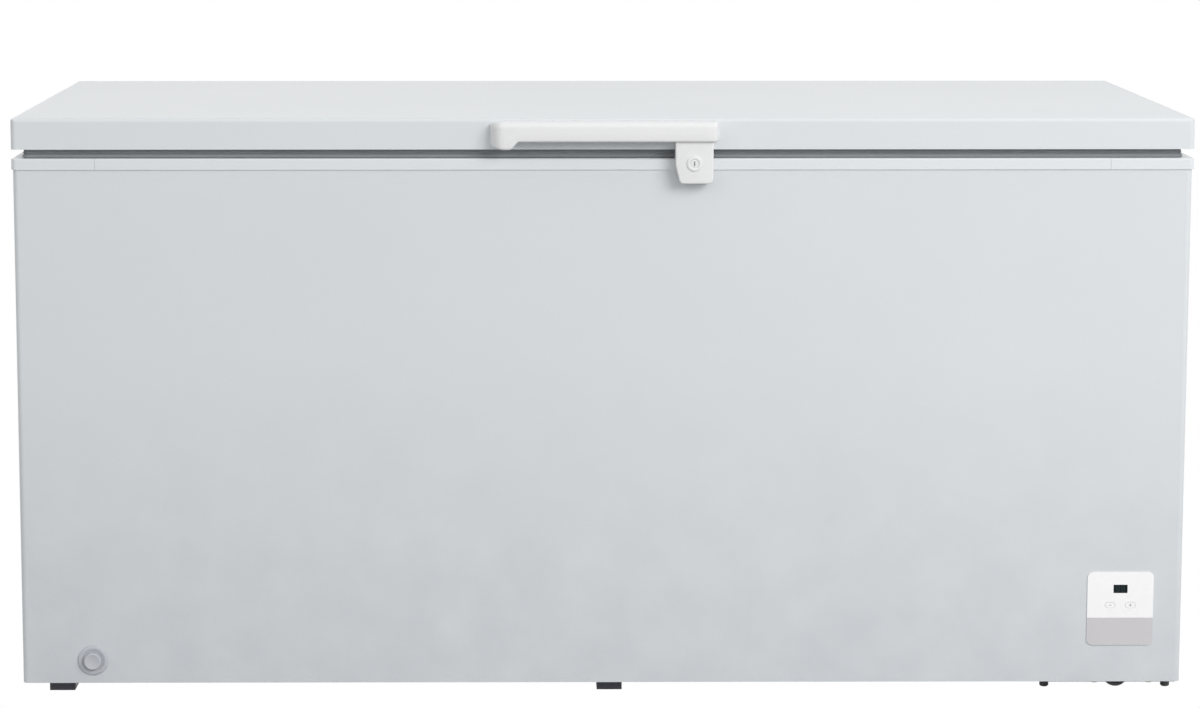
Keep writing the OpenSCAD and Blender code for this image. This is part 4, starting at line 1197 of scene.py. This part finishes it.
class HandleAndLock(Assembly):
    """Bow handle, lock housing, barrel, cam and keeper."""

    shape = HandleShape()
    housing_wall = 2.6 * MM
    housing_soft = 2.4 * MM
    barrel = 9 * MM
    cam_hub = 2.5 * MM
    cam_depth = 4 * MM
    round_steps = 72

    def build(self) -> None:
        """Builds the moulded pieces and dresses the metal ones."""
        self.build_handle()
        self.build_housing()
        self.build_barrel()
        self.dress(Finishes.zinc_part, "lock_cam", "lock_keeper")

    def section(self, x: float, low: Vector, high: Vector, grip: Point2) -> list[Vector]:
        """Cross-section of the handle at one place along it.

        Args:
            x: The place.
            low: Lowest corner of the handle's box.
            high: Highest corner of the handle's box.
            grip: Where the finger pocket starts and ends.

        Returns:
            The section's points.
        """
        s = self.shape
        face = high.y
        bar_low = low.z + s.foot_drop
        left = min(1.0, (x - low.x) / s.left_round)
        right = min(1.0, (high.x - x) / s.right_round)
        bulge = math.sqrt(max(0.0, 1 - (1 - left) ** 2.4)) * math.sqrt(max(0.0, 1 - (1 - right) ** 2))
        front = face - (high.y - low.y) * max(bulge, 0.04)
        droop = 1 - smooth_step((x - low.x - s.foot * 0.72) / (s.foot * 0.34))
        bottom = bar_low - s.foot_drop * droop + (1 - left) ** 2 * 6 * MM + (1 - right) ** 2 * 3 * MM
        top = high.z - (1 - left) ** 2 * 5 * MM - (1 - right) ** 2 * 4 * MM
        deep = smooth_step((x - grip[0]) / (6 * MM)) * smooth_step((grip[1] - x) / (6 * MM))
        round_top = min(s.top_round, (face - front) * 0.8)
        round_low = min(s.lip_round, (face - front) * 0.5)
        points = [(face, top)]
        points += arc_points((front + round_top, top - round_top), round_top, 90, 168, s.arc_steps)
        points += [(front + 0.3 * MM, top - round_top - 2 * MM), (front, (top + bottom) / 2)]
        points += arc_points((front + round_low, bottom + round_low), round_low, 188, 270, s.arc_steps)
        ceiling = bottom + deep * (top - s.wall - bottom)
        inner = front + s.wall
        shelf = max(ceiling - 2 * MM, bottom)
        points += [(inner, bottom), (inner, shelf), (inner + 2 * MM * deep, ceiling), (face, ceiling)]
        return [Vector((x, y, z)) for y, z in points]

    def build_handle(self) -> None:
        """Lofts the handle from its sections."""
        low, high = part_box("handle")
        housing_low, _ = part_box("lock_housing")
        grip = (low.x + self.shape.foot, housing_low.x - 5 * MM)
        places = [low.x + self.shape.left_round * (1 - math.cos(math.pi / 2 * i / 10)) for i in range(11)]
        places += spread(low.x + self.shape.left_round + 1 * MM, low.x + self.shape.foot * 1.2, 14)
        places += spread(low.x + self.shape.foot * 1.25, grip[1] - 8 * MM, 12)
        places += spread(grip[1] - 7 * MM, grip[1] + 1 * MM, 9)
        places += spread(grip[1] + 3 * MM, high.x - self.shape.right_round, 6)
        places += [high.x - self.shape.right_round * (1 - math.sin(math.pi / 2 * i / 8)) for i in range(1, 9)]
        mesh = bmesh.new()
        bridge_rings(mesh, [self.section(x, low, high, grip) for x in places])
        piece = finish_object("bow_handle", mesh, Finishes.white_plastic, 42.0)
        self.place(piece, "lid", "white_plastic", "handle")

    def housing_outline(self, low: Vector, high: Vector, inset: float) -> list[Point2]:
        """Outline of the lock housing across and up.

        Args:
            low: Lowest corner of its box.
            high: Highest corner of its box.
            inset: How far inside the outer wall the outline runs.

        Returns:
            The outline, anticlockwise from the upper right.
        """
        corner = 7 * MM - inset
        left_low = (low.x + 12 * MM, low.z + 7 * MM)
        right_low = (high.x - 7 * MM, low.z + 7 * MM)
        return [
            (high.x - inset, high.z - inset),
            (high.x - inset * 2, high.z),
            (low.x + inset * 2, high.z),
            (low.x + inset, high.z - inset),
            (low.x + inset, low.z + 27 * MM),
            (low.x + 1.5 * MM + inset, low.z + 20 * MM),
            *arc_points(left_low, corner, 192, 270, 6),
            *arc_points(right_low, corner, 270, 360, 6),
        ]

    def build_housing(self) -> None:
        """Builds the lock housing as a hollow shell with soft front edges."""
        low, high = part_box("lock_housing")
        wall = self.housing_wall
        soft = self.housing_soft
        rear = high.y - 0.8 * MM
        levels = [(0.0, rear), (0.0, low.y + soft)]
        for step in range(1, 6):
            angle = math.pi / 2 * step / 5
            levels.append((soft * (1 - math.cos(angle)), low.y + soft * (1 - math.sin(angle))))
        mesh = bmesh.new()

        def rows_at(places: Sequence[Point2]) -> list[list[bmesh.types.BMVert]]:
            """Adds an outline at each pair of inset and depth."""
            return [
                [mesh.verts.new((x, y, z)) for x, z in self.housing_outline(low, high, inset)]
                for inset, y in places
            ]

        outer = rows_at(levels)
        inner = rows_at([(wall, low.y + wall), (wall, rear)])
        for rows in (outer, inner):
            for near, far in zip(rows, rows[1:]):
                for index in range(len(near)):
                    after = (index + 1) % len(near)
                    mesh.faces.new((near[index], near[after], far[after], far[index]))
        mesh.faces.new(outer[-1])
        mesh.faces.new(inner[0])
        for index in range(len(outer[0])):
            after = (index + 1) % len(outer[0])
            mesh.faces.new((outer[0][index], inner[-1][index], inner[-1][after], outer[0][after]))
        piece = finish_object("lock_cover", mesh, Finishes.white_plastic, 40.0)
        self.place(piece, "lid", "white_plastic", "lock_housing")

    def build_barrel(self) -> None:
        """Turns the barrel's collar and plug and lays a thin dark slab on the plug's face for the key slot:
        painted shade of the slot's hollow.
        """
        low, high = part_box("lock_barrel")
        centre = (low + high) / 2
        front = low.y
        radius = (high.x - low.x) / 2
        profile = [
            (0.0, front + 1.2 * MM),
            (4.6 * MM, front + 1.2 * MM),
            (5.2 * MM, front + 1.6 * MM),
            (5.6 * MM, front + 2.4 * MM),
            (6.2 * MM, front + 1.2 * MM),
            (6.9 * MM, front + 0.3 * MM),
            (8.0 * MM, front),
            (radius - 1.5 * MM, front + 0.2 * MM),
            (radius - 0.4 * MM, front + 0.9 * MM),
            (radius, front + 1.8 * MM),
            (self.barrel, front + 1.9 * MM),
            (self.barrel, high.y - self.cam_depth),
            (self.cam_hub, high.y - self.cam_depth),
            (self.cam_hub, high.y),
            (0.0, high.y),
        ]
        mesh = lathe(profile, lambda a, b, y: Vector((centre.x + a, y, centre.z + b)), self.round_steps)
        piece = finish_object("key_barrel", mesh, Finishes.white_plastic, 30.0)
        self.place(piece, "lock", "chrome", "lock_barrel")
        # A dark slab just proud of the plug's face stands for the key slot: painted shade in place of a
        # hollow.
        slot = bmesh.new()
        block(
            slot,
            Vector((centre.x - 0.7 * MM, front + 0.9 * MM, centre.z - 3.2 * MM)),
            Vector((centre.x + 0.7 * MM, front + 1.25 * MM, centre.z + 3.2 * MM)),
        )
        bmesh.ops.bevel(slot, geom=slot.edges[:], offset=0.12 * MM, segments=2, affect="EDGES")
        keyway = finish_object("keyway", slot, Finishes.ink, 30.0)
        self.place(keyway, "lock", "dark_plastic")


class Controls(Assembly):
    """Control panel, its keys, display and printed marks."""

    ink_rise = 0.04 * MM
    ink_sink = 0.01 * MM
    mark_half = 2.1 * MM
    mark_thin = 0.32 * MM
    figure_half = 2.0 * MM
    figure_tall = 3.6 * MM
    segment_half = 0.3 * MM
    segment_gap = 0.5 * MM
    tick_step = 1.7 * MM
    tick_drop = 2.6 * MM

    def build(self) -> None:
        """Dresses the panel and adds what is printed on it."""
        self.dress(Finishes.panel_white, "control_panel", "button_minus", "button_plus")
        self.dress(Finishes.panel_film, "panel_strip")
        self.dress(Finishes.display_glass, "display_window")
        self.dress(Finishes.circuit_board, "control_board")
        self.mark_key("button_minus", "minus_key", False)
        self.mark_key("button_plus", "plus_key", True)
        self.add_digits()
        self.add_scale_marks()

    def printed(
        self, name: str, bars: Sequence[tuple[Point2, Point2]], face: float, finish: Finish
    ) -> bpy.types.Object:
        """Makes thin printed bars on a face that looks forward.

        Args:
            name: The piece's name.
            bars: Low and high corners of each bar, across and up.
            face: Where the printed face is.
            finish: The ink.

        Returns:
            The piece.
        """
        mesh = bmesh.new()
        for low, high in bars:
            outline = rounded_rectangle(low, high, 0.25 * MM, 3)
            depths = (face + self.ink_sink, face - self.ink_rise)
            rings = [[Vector((x, y, z)) for x, z in outline] for y in depths]
            bridge_rings(mesh, rings)
        return finish_object(name, mesh, finish, 30.0)

    def mark_key(self, node: str, body: str, plus: bool) -> None:
        """Prints a minus or plus on a key.

        Args:
            node: The key's node.
            body: Its body.
            plus: Whether it is the plus.
        """
        low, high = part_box(node)
        centre = (low + high) / 2
        long_side = self.mark_half
        thin = self.mark_thin
        bars = [((centre.x - long_side, centre.z - thin), (centre.x + long_side, centre.z + thin))]
        if plus:
            bars.append(((centre.x - thin, centre.z - long_side), (centre.x + thin, centre.z + long_side)))
        piece = self.printed(node + "_mark", bars, low.y, Finishes.ink)
        self.place(piece, body, "panel_print")

    def add_digits(self) -> None:
        """Lays two unlit seven-segment figures on the display."""
        low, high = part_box("display_window")
        middle = (low.z + high.z) / 2
        bars = []
        thick = self.segment_half
        gap = self.segment_gap
        half = self.figure_half
        tall = self.figure_tall
        for centre in ((low.x * 0.68 + high.x * 0.32), (low.x * 0.32 + high.x * 0.68)):
            for level in (-tall, 0.0, tall):
                line = middle + level
                bars.append(((centre - half, line - thick), (centre + half, line + thick)))
            for side in (-half, half):
                for base in (-tall, 0.0):
                    bars.append(
                        (
                            (centre + side - thick, middle + base + gap),
                            (centre + side + thick, middle + base + tall - gap),
                        )
                    )
        piece = self.printed("display_figures", bars, low.y, Finishes.segment_grey)
        self.place(piece, "cabinet", "display")

    def add_scale_marks(self) -> None:
        """Prints a short row of plain ticks under each key."""
        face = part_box("control_panel")[0].y
        bars = []
        for node in ("button_minus", "button_plus"):
            low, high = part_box(node)
            centre = (low.x + high.x) / 2
            for index in range(5):
                x = centre + (index - 2) * self.tick_step
                tall = 1.5 * MM if index == 2 else 0.8 * MM
                base = low.z - self.tick_drop
                bars.append(((x - 0.2 * MM, base - tall / 2), (x + 0.2 * MM, base + tall / 2)))
        piece = self.printed("panel_ticks", bars, face, Finishes.faint_ink)
        self.place(piece, "cabinet", "panel_print")


class Drain(Assembly):
    """Front drain outlet and the plug inside the tub."""

    bore = 8.5 * MM
    stem = 8.2 * MM
    knob_depth = 8 * MM
    rib_count = 18
    round_steps = 72

    def build(self) -> None:
        """Turns the bezel and the knob and adds the knob's ribs."""
        self.dress(Finishes.drain_plastic, "tub_plug")
        self.build_bezel()
        self.build_knob()

    @staticmethod
    def turned(centre: Vector) -> Callable[[float, float, float], Vector]:
        """Returns a placer round a front-to-back axis."""
        return lambda a, b, along: Vector((centre.x + a, along, centre.z + b))

    def build_bezel(self) -> None:
        """Turns the ring round the outlet."""
        low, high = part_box("drain_bezel")
        centre = (low + high) / 2
        outer = (high.x - low.x) / 2
        bore = self.bore
        rear = high.y
        profile = [
            (bore, rear),
            (outer, rear),
            (outer, rear - 0.8 * MM),
            (outer - 0.6 * MM, rear - 1.9 * MM),
            (outer - 2.0 * MM, rear - 2.8 * MM),
            (outer - 3.6 * MM, low.y),
            (outer - 5.4 * MM, rear - 2.8 * MM),
            (outer - 6.6 * MM, rear - 1.8 * MM),
            (outer - 7.6 * MM, rear - 1.6 * MM),
            (bore, rear - 1.6 * MM),
        ]
        mesh = lathe(profile, self.turned(centre), self.round_steps, looped=True)
        piece = finish_object("drain_ring", mesh, Finishes.drain_plastic, 35.0)
        self.place(piece, "cabinet", "grey_plastic", "drain_bezel")

    def build_knob(self) -> None:
        """Turns the knob and sets small ribs round it."""
        low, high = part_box("drain_plug")
        centre = (low + high) / 2
        radius = (high.x - low.x) / 2
        stem = self.stem
        root = low.y + self.knob_depth
        profile = [
            (0.0, low.y + 1.2 * MM),
            (radius * 0.55, low.y + 1.0 * MM),
            (radius * 0.72, low.y + 0.2 * MM),
            (radius * 0.86, low.y),
            (radius - 1.0 * MM, low.y + 0.5 * MM),
            (radius - 0.5 * MM, low.y + 1.6 * MM),
            (radius - 0.5 * MM, root - 0.6 * MM),
            (radius - 1.0 * MM, root),
            (stem, root),
            (stem, high.y - 2 * MM),
            (stem - 1 * MM, high.y),
            (0.0, high.y),
        ]
        mesh = lathe(profile, self.turned(centre), self.round_steps)
        piece = finish_object("drain_knob", mesh, Finishes.drain_plastic, 35.0)
        self.place(piece, "drain_knob", "grey_plastic", "drain_plug")
        rib = bmesh.new()
        inner = Vector((radius - 1.2 * MM, 2 * MM, -0.6 * MM))
        block(rib, inner, Vector((radius - 0.02 * MM, 7 * MM, 0.6 * MM)))
        ribs = finish_object("drain_knob_ribs", rib, Finishes.drain_plastic, 30.0)
        Repeaters.apply(
            ribs,
            Repeaters.ring(),
            Finishes.drain_plastic,
            Count=self.rib_count,
            Centre=(centre.x, low.y, centre.z),
        )
        self.place(ribs, "drain_knob", "grey_plastic")


class MachineBay(Assembly):
    """Compressor, its pipes, the tray, the feet and the rear cover."""

    slot_count = 9
    slot_step = 17 * MM
    slot_from_left = 26 * MM
    slot_from_right = 48.8 * MM
    first_slot = 61 * MM
    hood_reach = 1.9 * MM
    hood_rise = 5 * MM
    hood_stations = 15
    cover_sink = 0.4 * MM

    def build(self) -> None:
        """Dresses the bay's nodes and hoods the cover's slots."""
        self.dress(Finishes.black_paint, "compressor", "compressor_tray", "bay_cover")
        self.dress(Finishes.black_rubber, "compressor_grommets", "tray_feet", "cord_inlet")
        self.dress(Finishes.copper, "filter_drier", "suction_pipe", "discharge_pipe")
        self.dress(Finishes.dark_plastic, "inverter_box")
        self.dress(Finishes.zinc_part, "compressor_bolts")
        self.build_hoods()

    def build_hoods(self) -> None:
        """Sets a curved hood over each slot of the rear cover."""
        low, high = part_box("bay_cover")
        _, body_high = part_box("cabinet_wrap")
        left = low.x + self.slot_from_left
        right = body_high.x - self.slot_from_right
        plate = high.y
        level = low.z + self.first_slot
        rings = []
        for along in spread(0.0, 1.0, self.hood_stations):
            edge = math.sqrt(max(0.0, 1 - (2 * along - 1) ** 8))
            x = left + (right - left) * along
            ring = []
            for outward, up in arc_points((0.0, 0.0), 1.0, -20, 90, 6):
                reach = self.hood_reach * edge * max(outward, 0.02)
                ring.append(Vector((x, plate + reach, level + self.hood_rise * up)))
            ring.append(Vector((x, plate - self.cover_sink, level + self.hood_rise)))
            ring.append(Vector((x, plate - self.cover_sink, level + self.hood_rise - 1 * MM)))
            rings.append(ring)
        mesh = bmesh.new()
        bridge_rings(mesh, rings)
        piece = finish_object("cover_hoods", mesh, Finishes.black_paint, 40.0)
        step = (0.0, 0.0, self.slot_step)
        Repeaters.apply(piece, Repeaters.row(), Finishes.black_paint, Count=self.slot_count, Step=step)
        self.place(piece, "cabinet", "black_paint")


class Running(Assembly):
    """Base rails and rollers."""

    def build(self) -> None:
        """Dresses rails, pins and rollers."""
        rollers = [name for name in self.nodes if name.startswith("roller_") and name != "roller_pins"]
        self.dress(Finishes.dark_plastic, "base_rail_left", "base_rail_middle", *rollers)
        self.dress(Finishes.zinc_part, "roller_pins")


class Hinges(Assembly):
    """Rear hinges and all screws."""

    def build(self) -> None:
        """Dresses the hinges, their springs and the screws."""
        self.dress(Finishes.zinc_part, "hinge_brackets", "hinge_arms", "hinge_pins")
        self.dress(Finishes.spring_steel, "hinge_springs")
        self.dress(Finishes.zinc_part, "cabinet_screws", "lid_screws")


def main() -> None:
    """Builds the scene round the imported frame."""
    logging.basicConfig(level=logging.INFO, format="%(name)s: %(message)s")
    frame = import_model()
    Surround().build()
    for assembly in (Cabinet, Lid, HandleAndLock, Controls, Drain, MachineBay, Running, Hinges):
        assembly(frame).build()
        LOG.info("built %s", assembly.__name__)


if __name__ == "__main__":
    main()
